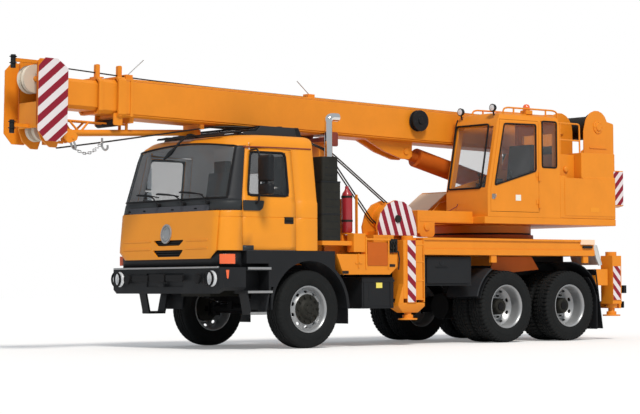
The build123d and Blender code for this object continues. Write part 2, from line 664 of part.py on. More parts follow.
def make_cab_interior():
    """Two seats, a dashboard and a steering wheel on the cab's floor."""
    floor = CAB_FLOOR + CAB_WALL
    pieces = []
    for side in (1, -1):
        y = side * 620
        base = block(1560, 1960, y - 170, y + 170, floor, floor + 330)
        cushion = block(1500, 2020, y - 250, y + 250, floor + 330, floor + 450)
        back = side_prism([(1500, floor + 450), (1620, floor + 450), (1520, floor + 1080), (1420, floor + 1080)],
                          y - 240, y + 240)
        head = block(1410, 1510, y - 130, y + 130, floor + 1080, floor + 1240)
        pieces.append(join(base, cushion, back, head))
    inner_front = CAB_FRONT_X - CAB_WALL
    dash = side_prism([(inner_front, 1500), (inner_front, 1900), (inner_front - 200, 1880), (inner_front - 330, 1760),
                       (inner_front - 280, 1500)], -900, 900)
    wheel_centre = Vector(inner_front - 480, 620, 1900)
    tilt = Vector(-0.55, 0, 0.83)
    wheel = Solid.make_torus(225, 16, Plane(origin=wheel_centre, z_dir=tilt))
    column = bar((inner_front - 300, 620, 1700), tuple(wheel_centre), 28)
    spokes = [bar(tuple(wheel_centre), tuple(wheel_centre + spoke), 14)
              for spoke in (Vector(0, 225, 0), Vector(0, -225, 0))]
    pieces.append(join(dash, column, wheel, *spokes))
    save("cab_interior", Part() + pieces)


def make_roof_rack():
    """Low rack on the cab's roof: two side plates, cross bars and a raised rear box."""
    roof = CAB_ROOF
    plates = []
    for side in (1, -1):
        outline = [(FRONT_AXLE_X + 870, roof), (FRONT_AXLE_X + 850, roof + 45), (FRONT_AXLE_X + 640, roof + 60),
                   (FRONT_AXLE_X + 560, roof + 135), (FRONT_AXLE_X - 10, roof + 130), (FRONT_AXLE_X - 40, roof)]
        plates.append(side_prism(outline, side * 880, side * 900))
    for x in (FRONT_AXLE_X + 780, FRONT_AXLE_X + 600, FRONT_AXLE_X + 300, FRONT_AXLE_X + 20):
        plates.append(block(x - 15, x + 15, -880, 880, roof, roof + 40))
    plates.append(block(FRONT_AXLE_X + 20, FRONT_AXLE_X + 560, -880, 880, roof + 20, roof + 40))
    save("roof_rack", join(*plates))


# ---------------------------------------------------------------- mudguards, steps, boxes, exhaust


def make_front_arches():
    """Front wheel arches with the steps ahead of them and a flap behind."""
    found = []
    z = TYRE_RADIUS
    for side in (1, -1):
        outer = side * (CAB_HALF + 5)
        inner = side * (BODY_HALF - 490)
        top = CAB_FLOOR
        band = bar((FRONT_AXLE_X, outer, z), (FRONT_AXLE_X, outer - side * 30, z), ARCH_RADIUS + ARCH_BAND)
        band = band & block(FRONT_AXLE_X - 2 * ARCH_RADIUS, STEP_REAR_X, outer, outer - side * 30, z, top)
        fascia = join(band, block(FRONT_AXLE_X - 435, STEP_REAR_X, outer, outer - side * 30, z + 300, top))
        fascia = fascia - bar((FRONT_AXLE_X, outer - side * 100, z), (FRONT_AXLE_X, outer + side * 100, z),
                              ARCH_RADIUS)
        liner = ring((FRONT_AXLE_X, inner, z), (FRONT_AXLE_X, outer, z), ARCH_RADIUS + 14, ARCH_RADIUS)
        liner = liner & block(FLAP_X, STEP_REAR_X + 60, inner, outer, z, top)
        step = join(block(STEP_REAR_X, STEP_FRONT_X, side * (BODY_HALF - 290), outer, STEP_BOTTOM, top))
        for low, high in ((STEP_BOTTOM + 40, STEP_BOTTOM + 300), (STEP_BOTTOM + 345, STEP_BOTTOM + 395)):
            step = step - block(STEP_REAR_X + 40, STEP_FRONT_X + 1, side * (BODY_HALF - 240), outer + side * 1,
                                low, high)
        # stirrup that carries the lowest step
        loops = []
        for inset in (0, 25):
            high, low = STEP_BOTTOM + 5 + inset, STIRRUP_BOTTOM + inset
            loop = [(STEP_REAR_X + 10 + inset, high), (STEP_FRONT_X - inset, high),
                    (STEP_FRONT_X - 60 - inset, low), (STEP_REAR_X + 70 + inset, low)]
            loops.append(side_prism(loop, side * (BODY_HALF - 190), outer - side * 15))
        step = join(step, join(loops[0]) - loops[1])
        flap = block(FLAP_X - 4, FLAP_X + 8, side * (BODY_HALF - 330), outer, FLAP_BOTTOM, z + 60)
        bracket = block(FRONT_AXLE_X - 330, FRONT_AXLE_X - 270, side * RAIL_OUTER, inner + side * 20,
                        RAIL_TOP - 60, RAIL_TOP - 5)
        found.append(join(fascia, liner, step, flap, bracket))
    return found


def make_rear_mudguards(front_arches):
    """Curved sheets ahead of and behind the rear wheels, with rubber flaps at the back."""
    found = []
    z = TYRE_RADIUS
    radius = TYRE_RADIUS + 40
    for side in (1, -1):
        outer = side * (BODY_HALF - 10)
        inner = side * 560
        back_x = REAR_AXLES_X[1]
        back = ring((back_x, inner, z), (back_x, outer, z), radius + 8, radius)
        back = back & block(back_x - 760, back_x - 380, inner, outer, z + 60, DECK_BOTTOM)
        flap = block(back_x - radius - 14, back_x - radius + 2, inner, outer, MUDFLAP_BOTTOM, z + 160)
        stay = block(back_x - radius - 10, back_x - radius + 90, side * RAIL_OUTER, inner + side * 20,
                     RAIL_BOTTOM + 60, RAIL_BOTTOM + 100)
        hook = block(back_x - radius - 8, back_x - radius + 60, inner, inner + side * 20, z + 60, RAIL_BOTTOM + 100)
        found.append(join(back, flap, stay, hook))
        front_x = REAR_AXLES_X[0]
        front = ring((front_x, inner, z), (front_x, outer, z), radius + 8, radius)
        front = front & block(front_x + 380, front_x + 760, inner, outer, z + 120, DECK_BOTTOM)
        tie = block(front_x + 470, front_x + 510, side * RAIL_OUTER, inner + side * 20, RAIL_BOTTOM + 60,
                    RAIL_BOTTOM + 100)
        web = block(front_x + 430, front_x + 560, inner, inner + side * 20, RAIL_BOTTOM + 20, RAIL_BOTTOM + 110)
        found.append(join(front, tie, web))
    save("mudguards", Part() + (front_arches + found))


def make_side_boxes():
    """Battery box, lockers and fuel tank on the hangers below the deck."""
    battery = block(FRONT_BEAM_X + 320, FRONT_BEAM_X + 900, LOCKER_INNER, BODY_HALF - 50, 530, 950)
    locker = block(LOCKER_REAR_X, LOCKER_FRONT_X, LOCKER_INNER, BODY_HALF - 60, 830, 1240)
    right_locker = block(FRONT_BEAM_X - 240, FRONT_BEAM_X + 280, -LOCKER_INNER, 50 - BODY_HALF, 620, 985)
    tank = join(block(LOCKER_REAR_X, LOCKER_FRONT_X, -LOCKER_INNER, 60 - BODY_HALF, 700, 1190))
    tank = fillet(tank.edges().filter_by(Axis.X), 90)
    save("side_boxes", Part() + [battery, locker, right_locker, tank])


def make_exhaust():
    """Upright silencer in its shield, with a stack that turns back at the top."""
    lower = block(EXHAUST_REAR_X, EXHAUST_FRONT_X, EXHAUST_Y - 150, EXHAUST_Y + 150, SHELF_Z, 2240)
    upper = block(EXHAUST_REAR_X + 30, EXHAUST_FRONT_X - 30, EXHAUST_Y - 130, EXHAUST_Y + 130, 2240, 2580)
    bend = 110
    straight = STACK_TOP - STACK_RADIUS - bend
    path = Wire([
        Edge.make_line((STACK_X, EXHAUST_Y, 2580), (STACK_X, EXHAUST_Y, straight)),
        Edge.make_three_point_arc((STACK_X, EXHAUST_Y, straight),
                                  (STACK_X - bend * (1 - math.cos(math.pi / 4)), EXHAUST_Y,
                                   straight + bend * math.sin(math.pi / 4)),
                                  (STACK_X - bend, EXHAUST_Y, straight + bend)),
        Edge.make_line((STACK_X - bend, EXHAUST_Y, straight + bend), (STACK_X - bend - 60, EXHAUST_Y, straight + bend))])
    section = Plane(origin=(STACK_X, EXHAUST_Y, 2580), z_dir=(0, 0, 1)) * Circle(STACK_RADIUS)
    stack = sweep(section, path=path)
    save("exhaust", join(lower, upper, stack))


def make_red_bottle():
    top = BOTTLE_BOTTOM + BOTTLE_HEIGHT
    body = bar((BOTTLE_X, BOTTLE_Y, BOTTLE_BOTTOM), (BOTTLE_X, BOTTLE_Y, top), BOTTLE_RADIUS)
    neck = bar((BOTTLE_X, BOTTLE_Y, top), (BOTTLE_X, BOTTLE_Y, top + 45), 28)
    save("red_bottle", join(body, neck))


# ---------------------------------------------------------------- deck and outriggers


def beam_cell(x, width, low, height, side, wall):
    """Square tube round one outrigger beam, open at the beam's own side."""
    half = width / 2 + CLEAR
    y_open = side * (LEG_OUTER - LEG_DEPTH - 2 * CLEAR)
    y_shut = -side * (BODY_HALF - 50)
    cell = join(block(x - half - wall, x + half + wall, y_open, y_shut, low - wall, low + height + CLEAR + wall))
    return cell - block(x - half, x + half, y_open + side * 1, y_shut + side * wall, low - RUN, low + height + CLEAR)


def rest_height():
    """Height of the boom's underside over its rest."""
    return boom_point((REST_X - PIVOT_X) / math.cos(math.radians(BOOM_TILT)), 0)[1] + BOOM_BOTTOM


def make_deck():
    front_x = FRONT_BEAM_X - BEAM_WIDTH / 2 - CLEAR - BOX_WALL
    pieces = []
    # side channels, with a lip along the lower edge
    for side in (1, -1):
        outer = side * BODY_HALF
        pieces.append(block(DECK_REAR_X, front_x, outer - side * 10, outer - side * 30, DECK_BOTTOM, DECK_TOP))
        pieces.append(block(DECK_REAR_X, front_x, outer, outer - side * 30, DECK_BOTTOM, DECK_BOTTOM + DECK_LIP))
        pieces.append(block(DECK_REAR_X, front_x, outer - side * 30, side * RAIL_OUTER,
                            DECK_BOTTOM, DECK_BOTTOM + DECK_PLATE))
    pieces.append(block(DECK_REAR_X, front_x, -BODY_HALF, BODY_HALF, DECK_TOP - DECK_PLATE, DECK_TOP))
    # sub-frame webs on the rails, cross walls and the ring's pedestal
    for side in (1, -1):
        pieces.append(block(RAIL_REAR_X, BOX_FRONT_X, side * RAIL_OUTER, side * (RAIL_OUTER - 60), RAIL_TOP,
                            FRONT_BEAM_LOW - BOX_WALL))
    pieces.append(block(DECK_REAR_X, front_x + BOX_WALL, -RAIL_OUTER, RAIL_OUTER, FRONT_BEAM_LOW - BOX_WALL - 20,
                        FRONT_BEAM_LOW - BOX_WALL))
    for x in (DECK_REAR_X + 20, SLEW_X - RING_RADIUS, SLEW_X + RING_RADIUS, front_x - 20):
        pieces.append(block(x - 10, x + 10, 30 - BODY_HALF, BODY_HALF - 30, DECK_BOTTOM, DECK_TOP))
    pieces.append(bar((SLEW_X, 0, FRONT_BEAM_LOW - BOX_WALL - 20), (SLEW_X, 0, DECK_TOP), RING_RADIUS))
    # front outrigger box: a cell for each side's beam, and a shelf forward of it
    pieces.append(beam_cell(FRONT_BEAM_X, BEAM_WIDTH, FRONT_BEAM_LOW, BEAM_HEIGHT, 1, BOX_WALL))
    pieces.append(beam_cell(FRONT_BEAM_X + FRONT_BEAM_PITCH, BEAM_WIDTH, FRONT_BEAM_LOW, BEAM_HEIGHT, -1, BOX_WALL))
    half = BEAM_WIDTH / 2 + CLEAR + BOX_WALL
    between = (FRONT_BEAM_X + half, FRONT_BEAM_X + FRONT_BEAM_PITCH - half)
    pieces.append(block(between[0], between[1], -950, 950, FRONT_BEAM_LOW - BOX_WALL, BOX_TOP))
    pieces.append(block(FRONT_BEAM_X + FRONT_BEAM_PITCH + half, BOX_FRONT_X, -950, 950,
                        FRONT_BEAM_LOW - BOX_WALL, BOX_TOP))
    for side in (1, -1):
        pieces.append(block(BOX_FRONT_X, EXHAUST_FRONT_X, side * (EXHAUST_Y - 150), side * (EXHAUST_Y + 150),
                            SHELF_Z - 60, SHELF_Z))
        pieces.append(block(BOX_FRONT_X - 40, BOX_FRONT_X, side * 900, side * (EXHAUST_Y + 150),
                            FRONT_BEAM_LOW - BOX_WALL, BOX_TOP))
    # side frames below the front box, ahead of its beams
    for side, middle in ((1, FRONT_BEAM_X), (-1, FRONT_BEAM_X + FRONT_BEAM_PITCH)):
        rear = middle + 290
        top = FRONT_BEAM_LOW - 12
        frame = [(rear, top), (rear, FRAME_LOW + 110), (rear + 140, FRAME_LOW), (BOX_FRONT_X + 356, FRAME_LOW),
                 (BOX_FRONT_X + 480, top)]
        pieces.append(side_prism(frame, side * 930, side * (BODY_HALF - 5)))
        pieces.append(block(BOX_FRONT_X - 40, BOX_FRONT_X + 480, side * 930, side * 990, top - 5, SHELF_Z - 60))
        pieces.append(block(BOX_FRONT_X - 40, BOX_FRONT_X + 170, side * 960, side * 990, top - 5, BOX_TOP))
    # post and ledge of the red bottle
    post_y = BOTTLE_Y - BOTTLE_RADIUS - RUN
    pieces.append(block(BOTTLE_X - 25, BOTTLE_X + 25, post_y - 40, post_y, SHELF_Z, BOTTLE_BOTTOM + 470))
    pieces.append(block(BOTTLE_X - 60, BOTTLE_X + 60, post_y - 40, BOTTLE_Y + 60, BOTTLE_BOTTOM - 20, BOTTLE_BOTTOM))
    # boom rest: a post with a saddle under the boom
    saddle = rest_height()
    pieces.append(block(REST_X - 70, REST_X + 70, -90, 90, BOX_TOP - 10, saddle - 90))
    pieces.append(block(REST_X - 90, REST_X + 90, -BOOM_HALF - 30, BOOM_HALF + 30, saddle - 110, saddle - 40))
    # rear outrigger box
    pieces.append(beam_cell(REAR_BEAM_X, REAR_BEAM_WIDTH, REAR_BEAM_LOW, REAR_BEAM_HEIGHT, 1, BOX_WALL))
    pieces.append(beam_cell(REAR_BEAM_X + REAR_BEAM_PITCH, REAR_BEAM_WIDTH, REAR_BEAM_LOW, REAR_BEAM_HEIGHT,
                            -1, BOX_WALL))
    rear_half = REAR_BEAM_WIDTH / 2 + CLEAR
    pieces.append(block(REAR_BEAM_X + rear_half, REAR_BEAM_X + REAR_BEAM_PITCH - rear_half, -950, 950,
                        REAR_BEAM_LOW - BOX_WALL, REAR_BEAM_LOW + REAR_BEAM_HEIGHT + CLEAR + BOX_WALL))
    for side in (1, -1):
        pieces.append(block(RAIL_REAR_X - 60, RAIL_REAR_X, side * RAIL_OUTER, side * (RAIL_OUTER - 60),
                            REAR_BEAM_LOW + REAR_BEAM_HEIGHT + CLEAR, DECK_BOTTOM))
        pieces.append(block(RAIL_REAR_X - 60, DECK_REAR_X + 40, side * RAIL_OUTER, side * (RAIL_OUTER - 60),
                            RAIL_TOP, DECK_BOTTOM + 20))
    # under-run bar behind the rear box
    rear_face = REAR_BEAM_X - rear_half - BOX_WALL
    pieces.append(block(rear_face - 60, rear_face - 20, -1150, 1150, 470, 560))
    for side in (1, -1):
        pieces.append(block(rear_face - 60, rear_face, side * 500, side * 560, 470, REAR_BEAM_LOW + 60))
    save("deck", join(*pieces))


def outrigger(x, side, low, width, height, leg_top, leg_wide, leg_bottom):
    """A sliding beam with the jack's housing at its outer end."""
    outer = side * LEG_OUTER
    inner = outer - side * LEG_DEPTH
    beam_end = -side * (BODY_HALF - 50 - BOX_WALL - CLEAR)
    beam = block(x - width / 2, x + width / 2, inner, beam_end, low, low + height)
    jack_y = outer - side * LEG_DEPTH / 2
    housing = block(x - leg_wide / 2, x + leg_wide / 2, inner, outer, leg_bottom + 60, leg_top)
    tube = bar((x, jack_y, leg_bottom), (x, jack_y, leg_top + 60), JACK_RADIUS + 35)
    leg = join(beam, housing, tube)
    return leg - bar((x, jack_y, leg_bottom - 1), (x, jack_y, leg_top + 20), JACK_RADIUS + RUN)


def jack(x, side, leg_bottom, leg_top):
    """Jack rod with its round foot."""
    jack_y = side * (LEG_OUTER - LEG_DEPTH / 2)
    rod = bar((x, jack_y, PAD_BOTTOM + 20), (x, jack_y, leg_top), JACK_RADIUS)
    foot = bar((x, jack_y, PAD_BOTTOM), (x, jack_y, PAD_BOTTOM + PAD_THICKNESS), PAD_RADIUS)
    collar = bar((x, jack_y, PAD_BOTTOM), (x, jack_y, PAD_BOTTOM + 70), JACK_RADIUS + 25)
    return join(rod, foot, collar)


def make_outriggers():
    front_top = BOX_TOP - CLEAR - 60
    rear_top = 1270
    table = (
        # name, middle, low, width, height, housing top, housing width, housing bottom
        ("front", FRONT_BEAM_X, FRONT_BEAM_LOW, BEAM_WIDTH, BEAM_HEIGHT, front_top, 360, LEG_BOTTOM),
        ("rear", REAR_BEAM_X, REAR_BEAM_LOW, REAR_BEAM_WIDTH, REAR_BEAM_HEIGHT, rear_top, 200, 480))
    for end, x, low, width, height, top, wide, bottom in table:
        pitch = FRONT_BEAM_PITCH if end == "front" else REAR_BEAM_PITCH
        for name, side in RIGHT_AND_LEFT:
            middle = x if side > 0 else x + pitch
            save(f"outrigger_{end}_{name}", outrigger(middle, side, low, width, height, top, wide, bottom))
            save(f"jack_{end}_{name}", jack(middle, side, bottom, top))


def make_hook_block():
    """Hook block stowed on the front box: two rounded cheeks over its sheaves."""
    x0 = FRONT_BEAM_X - 210
    x1 = FRONT_BEAM_X + 510
    outer = BODY_HALF - 150
    inner = BODY_HALF - 490
    z0 = BOX_TOP
    cheek = [(x0, z0), (x1, z0), (x1 + 20, z0 + 120), (x1 - 40, z0 + 300), (x1 - 160, z0 + 430), (x1 - 320, z0 + 490),
             (x0 + 240, z0 + 470), (x0 + 110, z0 + 390), (x0 + 30, z0 + 240)]
    near = side_prism(cheek, outer - 40, outer)
    far = side_prism(cheek, inner, inner + 40)
    middle = bar(((x0 + x1) / 2, inner + 40, z0 + 230), ((x0 + x1) / 2, outer - 40, z0 + 230), 200)
    base = block(x0 + 60, x1 - 60, inner + 40, outer - 40, z0, z0 + 60)
    save("hook_block", join(near, far, middle, base))


# ---------------------------------------------------------------- superstructure
def make_slew_ring():
    lower = ring((SLEW_X, 0, DECK_TOP), (SLEW_X, 0, DECK_TOP + RING_HEIGHT), RING_RADIUS, RING_RADIUS - 120)
    save("slew_ring", lower)


def turret_plan():
    """Plan outline of the superstructure's floor frame, in (x, y)."""
    return [(TURRET_REAR_X, -BODY_HALF), (CRANE_CAB_FRONT_X, -BODY_HALF), (CRANE_CAB_FRONT_X, PLATFORM_INNER),
            (TURRET_FRONT_X, PLATFORM_INNER), (TURRET_FRONT_X, 1000), (CRANE_CAB_FRONT_X + 60, 1000),
            (CRANE_CAB_FRONT_X + 60, BODY_HALF), (TURRET_REAR_X, BODY_HALF)]


def make_turret():
    pieces = [Part() + plan_prism(turret_plan(), TURRET_FLOOR, TURRET_TOP)]
    pieces.append(ring((SLEW_X, 0, RING_TOP), (SLEW_X, 0, TURRET_FLOOR), RING_RADIUS, RING_RADIUS - 120))
    # box on the front platform and the lug below it
    pieces.append(block(CRANE_CAB_FRONT_X + 60, TURRET_FRONT_X, PLATFORM_INNER, 1000, TURRET_TOP - 5, 1895))
    pieces.append(block(TURRET_FRONT_X - 330, TURRET_FRONT_X, PLATFORM_INNER + 60, 1000, 1565, TURRET_FLOOR))
    # main cheeks from the floor up to the boom's pivot
    rear = PIVOT_X - 280
    arc = [(PIVOT_X + 280 * math.cos(a), PIVOT_Z + 280 * math.sin(a))
           for a in [math.radians(d) for d in range(40, 181, 20)]]
    cheek = [(rear, WINCH_BASE + 40), (TURRET_REAR_X, WINCH_BASE + 40), (TURRET_REAR_X, TURRET_TOP),
             (CRANE_CAB_FRONT_X - 200, TURRET_TOP), (CRANE_CAB_FRONT_X - 500, TURRET_TOP + 260),
             (PIVOT_X + 900, TURRET_TOP + 480), (PIVOT_X + 420, PIVOT_Z - 120)] + arc
    for side in (1, -1):
        plate = Part() + side_prism(cheek, side * CHEEK_INNER, side * (CHEEK_INNER + CHEEK_WALL))
        pieces.append(plate)
        foot_x = LIFT_FOOT_X
        inner = side * (LIFT_EYE_WIDTH / 2 + RUN)
        lug = [(foot_x - 170, TURRET_TOP), (foot_x + 170, TURRET_TOP), (foot_x + 120, LIFT_FOOT_Z + 90),
               (foot_x, LIFT_FOOT_Z + 140), (foot_x - 120, LIFT_FOOT_Z + 90)]
        pieces.append(side_prism(lug, inner, inner + side * 40))
    pieces.append(bar((PIVOT_X, -CHEEK_INNER - CHEEK_WALL - 30, PIVOT_Z),
                      (PIVOT_X, CHEEK_INNER + CHEEK_WALL + 30, PIVOT_Z), PIVOT_RADIUS))
    # winch plates behind the pivot, on a box over the counterweight
    top = [(WINCH_X + 240 * math.cos(a), WINCH_Z + 30 + 230 * math.sin(a))
           for a in [math.radians(d) for d in range(0, 181, 20)]]
    panel = [(WINCH_X - 400, WINCH_BASE), (TURRET_REAR_X + 60, WINCH_BASE), (TURRET_REAR_X + 60, 2900),
             (WINCH_X + 240, 2950)]
    panel = panel + top + [(WINCH_X - 240, 2950), (WINCH_X - 400, 2870)]
    for side in (1, -1):
        plate = Part() + side_prism(panel, side * WINCH_HALF, side * (WINCH_HALF + WINCH_PLATE))
        y = side * WINCH_HALF
        plate = plate - bar((WINCH_X, y - side * 5, WINCH_Z), (WINCH_X, y + side * 60, WINCH_Z), 50 + RUN)
        pieces.append(plate)
    pieces.append(block(WINCH_X - 400, TURRET_REAR_X + 60, -WINCH_HALF, WINCH_HALF, WINCH_BASE, WINCH_BASE + 40))
    pieces.append(block(TURRET_REAR_X, TURRET_REAR_X + 60, -WINCH_HALF - WINCH_PLATE, WINCH_HALF + WINCH_PLATE,
                        TURRET_TOP, WINCH_BASE + 40))
    save("turret", join(*pieces))


def make_counterweight():
    rear = WINCH_X - 390
    front = TURRET_REAR_X
    outline = [(front, -1200), (front, 1200), (front - 230, 1200), (rear, 700), (rear, -700), (front - 230, -1200)]
    weight = Part() + plan_prism(outline, 2030, WINCH_BASE)
    save("counterweight", weight)


def make_winch_drum():
    shaft = bar((WINCH_X, -WINCH_HALF - WINCH_PLATE, WINCH_Z), (WINCH_X, WINCH_HALF + WINCH_PLATE, WINCH_Z), 50)
    drum = bar((WINCH_X, -WINCH_HALF + 60, WINCH_Z), (WINCH_X, WINCH_HALF - 60, WINCH_Z), WINCH_RADIUS)
    rims = [bar((WINCH_X, y, WINCH_Z), (WINCH_X, y + 20, WINCH_Z), WINCH_RADIUS + 40)
            for y in (-WINCH_HALF + 40, WINCH_HALF - 60)]
    save("winch_drum", join(shaft, drum, *rims))


def crane_cab_volume(inset):
    """The crane cab's outer form, or the same form shrunk by a wall."""
    front = CRANE_CAB_FRONT_X - inset
    rear = CRANE_CAB_REAR_X + inset
    low = TURRET_TOP + inset
    roof = CRANE_CAB_ROOF - inset
    y0 = CRANE_CAB_INNER + inset
    y1 = BODY_HALF - inset
    side = [(rear, low), (front, low), (front, 2210), (front - CRANE_CAB_LEAN, 3190), (front - CRANE_CAB_LEAN - 110, roof - 20),
            (front - CRANE_CAB_LEAN - 220, roof), (rear + 60, roof), (rear, roof - 50)]
    across = [(y0, low - 1), (y1, low - 1), (y1, 3200), (y1 - 50, roof - 40), (y1 - 120, roof), (y0 + 60, roof),
              (y0, roof - 50)]
    return (Part() + side_prism(side, y0 - 1, y1 + 1)) & front_prism(across, rear - 1, front + 1)


def crane_door_outline(gap):
    front = CRANE_DOOR_FRONT_X + gap
    rear = CRANE_DOOR_REAR_X - gap
    return [(rear, CRANE_DOOR_BOTTOM - gap), (front, CRANE_DOOR_BOTTOM - gap), (front, 2210),
            (front - CRANE_CAB_LEAN, CRANE_DOOR_TOP + gap), (rear, CRANE_DOOR_TOP + gap)]


def crane_window_outline(inset):
    """Window with a slanting lower edge."""
    rear = CRANE_CAB_REAR_X + 500
    front = CRANE_CAB_FRONT_X - 140
    return [(rear + inset, 2500 + inset), (front - inset, 2270 + inset), (front - 200 - inset, 3180 - inset),
            (rear + inset, 3190 - inset)]


def crane_rear_side_window(inset):
    rear = CRANE_CAB_REAR_X + 65
    front = CRANE_CAB_REAR_X + 380
    return [(rear + inset, 2560 + inset), (front - inset, 2560 + inset), (front - inset, 3250 - inset),
            (rear + inset, 3250 - inset)]


def crane_screen_outline(inset):
    """Front window of the crane cab, in (y, z)."""
    return [(CRANE_CAB_INNER + 70 + inset, 2240 + inset), (BODY_HALF - 60 - inset, 2240 + inset),
            (BODY_HALF - 60 - inset, 3140 - inset), (CRANE_CAB_INNER + 70 + inset, 3140 - inset)]


def make_crane_cab():
    shell = crane_cab_volume(0) - crane_cab_volume(CRANE_CAB_WALL)
    mid = (CRANE_CAB_INNER + BODY_HALF) / 2
    shell = shell - side_prism(crane_door_outline(CLEAR), CRANE_DOOR_DEPTH, BODY_HALF + 50)
    shell = shell - side_prism(crane_rear_side_window(0), CRANE_CAB_INNER - 50, BODY_HALF + 50)
    shell = shell - side_prism(crane_window_outline(0), CRANE_CAB_INNER - 50, mid)
    shell = shell - front_prism(crane_screen_outline(0), CRANE_CAB_FRONT_X - CRANE_CAB_LEAN - 60, CRANE_CAB_FRONT_X + 50)
    shell = shell - front_prism(crane_screen_outline(60), CRANE_CAB_REAR_X - 50, CRANE_CAB_REAR_X + 80)
    pieces = [shell]
    y = BODY_HALF + HINGE_RADIUS + 1
    for z in CRANE_HINGES_Z:
        pieces.append(block(CRANE_DOOR_REAR_X - 60, CRANE_DOOR_REAR_X, BODY_HALF, BODY_HALF + HINGE_LEAF,
                            z - HINGE_LENGTH, z - RUN))
    pieces.extend(hinges(CRANE_DOOR_REAR_X, y, CRANE_HINGES_Z, False))
    save("crane_cab", join(*pieces))


def make_crane_door():
    wall = crane_cab_volume(0) - crane_cab_volume(CRANE_CAB_WALL)
    leaf = wall & side_prism(crane_door_outline(0), CRANE_DOOR_DEPTH, BODY_HALF + 50)
    leaf = leaf - side_prism(crane_window_outline(0), CRANE_DOOR_DEPTH, BODY_HALF + 50)
    pieces = [leaf]
    y = BODY_HALF + HINGE_RADIUS + 1
    for z in CRANE_HINGES_Z:
        pieces.append(block(CRANE_DOOR_REAR_X, CRANE_DOOR_REAR_X + 60, BODY_HALF, BODY_HALF + HINGE_LEAF,
                            z + RUN, z + HINGE_LENGTH))
    pieces.extend(hinges(CRANE_DOOR_REAR_X, y, CRANE_HINGES_Z, True))
    save("crane_door", join(*pieces))
    middle = BODY_HALF - CRANE_CAB_WALL / 2
    pane = side_prism(crane_window_outline(RUN), middle - GLASS / 2, middle + GLASS / 2)
    save("crane_door_glass", pane)


def make_crane_glass():
    wall = crane_cab_volume(CRANE_CAB_WALL / 2 - GLASS / 2) - crane_cab_volume(CRANE_CAB_WALL / 2 + GLASS / 2)
    mid = (CRANE_CAB_INNER + BODY_HALF) / 2
    panes = [
        wall & front_prism(crane_screen_outline(RUN), CRANE_CAB_FRONT_X - CRANE_CAB_LEAN - 40, CRANE_CAB_FRONT_X),
        wall & front_prism(crane_screen_outline(60 + RUN), CRANE_CAB_REAR_X, CRANE_CAB_REAR_X + 60),
        wall & side_prism(crane_rear_side_window(RUN), mid, BODY_HALF),
        wall & side_prism(crane_rear_side_window(RUN), CRANE_CAB_INNER, mid),
        wall & side_prism(crane_window_outline(RUN), CRANE_CAB_INNER, mid)]
    save("crane_cab_glass", Part() + panes)


def make_crane_seat():
    floor = TURRET_TOP + CRANE_CAB_WALL
    y = (CRANE_CAB_INNER + BODY_HALF) / 2
    x = CRANE_CAB_FRONT_X - 900
    base = block(x - 170, x + 170, y - 170, y + 170, floor, floor + 330)
    cushion = block(x - 240, x + 270, y - 240, y + 240, floor + 330, floor + 440)
    back = side_prism([(x - 240, floor + 440), (x - 130, floor + 440), (x - 210, floor + 1050), (x - 310, floor + 1050)],
                      y - 230, y + 230)
    desk = [block(x - 100, x + 200, y + side * 260, y + side * 370, floor, floor + 560) for side in (-1, 1)]
    save("crane_seat", Part() + [join(base, cushion, back)] + desk)


def make_housings():
    """Machinery housings: behind the crane cab on the left, and along the right side."""
    left_front = CRANE_CAB_REAR_X
    left = block(TURRET_REAR_X, left_front - CLEAR, 620, BODY_HALF, TURRET_TOP, 2455)
    left = join(left) - block(TURRET_REAR_X + 720, TURRET_REAR_X + 1070, 900, BODY_HALF + 1, 2300, 2456)
    hood = [(TURRET_REAR_X, TURRET_TOP), (SLEW_X + 690, TURRET_TOP), (SLEW_X + 80, 2255), (SLEW_X + 50, 2275),
            (TURRET_REAR_X, 2275)]
    right = side_prism(hood, -BODY_HALF, -620)
    save("machine_housings", Part() + [left, right])


# ---------------------------------------------------------------- boom
def section_outline(step, wall):
    """Cross outline of a boom section in (y, w): step counts sections inwards, wall shrinks it."""
    inset = step * BOOM_STEP + wall
    half = BOOM_HALF - inset
    top = BOOM_TOP - inset
    low = BOOM_BOTTOM + inset
    c = BOOM_CHAMFER
    return [(-half + c, low), (half - c, low), (half, low + c), (half, top - c), (half - c, top), (c - half, top),
            (-half, top - c), (-half, low + c)]


def boom_tube(step, rear, front):
    outer = front_prism([(y, PIVOT_Z + w) for y, w in section_outline(step, 0)], PIVOT_X + rear, PIVOT_X + front)
    inner = front_prism([(y, PIVOT_Z + w) for y, w in section_outline(step, BOOM_WALL)],
                        PIVOT_X + rear - 1, PIVOT_X + front + 1)
    return (Part() + outer) - inner


def boom_block(u0, u1, y0, y1, w0, w1):
    return block(PIVOT_X + u0, PIVOT_X + u1, y0, y1, PIVOT_Z + w0, PIVOT_Z + w1)


def boom_prism(outline, y0, y1):
    return side_prism([(PIVOT_X + u, PIVOT_Z + w) for u, w in outline], y0, y1)


def wear_pads(step, u0, u1):
    """Pads on the inside of a section that carry the next section."""
    low = BOOM_BOTTOM + step * BOOM_STEP + BOOM_WALL
    high = BOOM_TOP - step * BOOM_STEP - BOOM_WALL
    gap = BOOM_STEP - BOOM_WALL - RUN
    wide = BOOM_HALF - step * BOOM_STEP - BOOM_CHAMFER - 40
    return [boom_block(u0, u1, -wide, wide, low, low + gap), boom_block(u0, u1, -wide, wide, high - gap, high)]


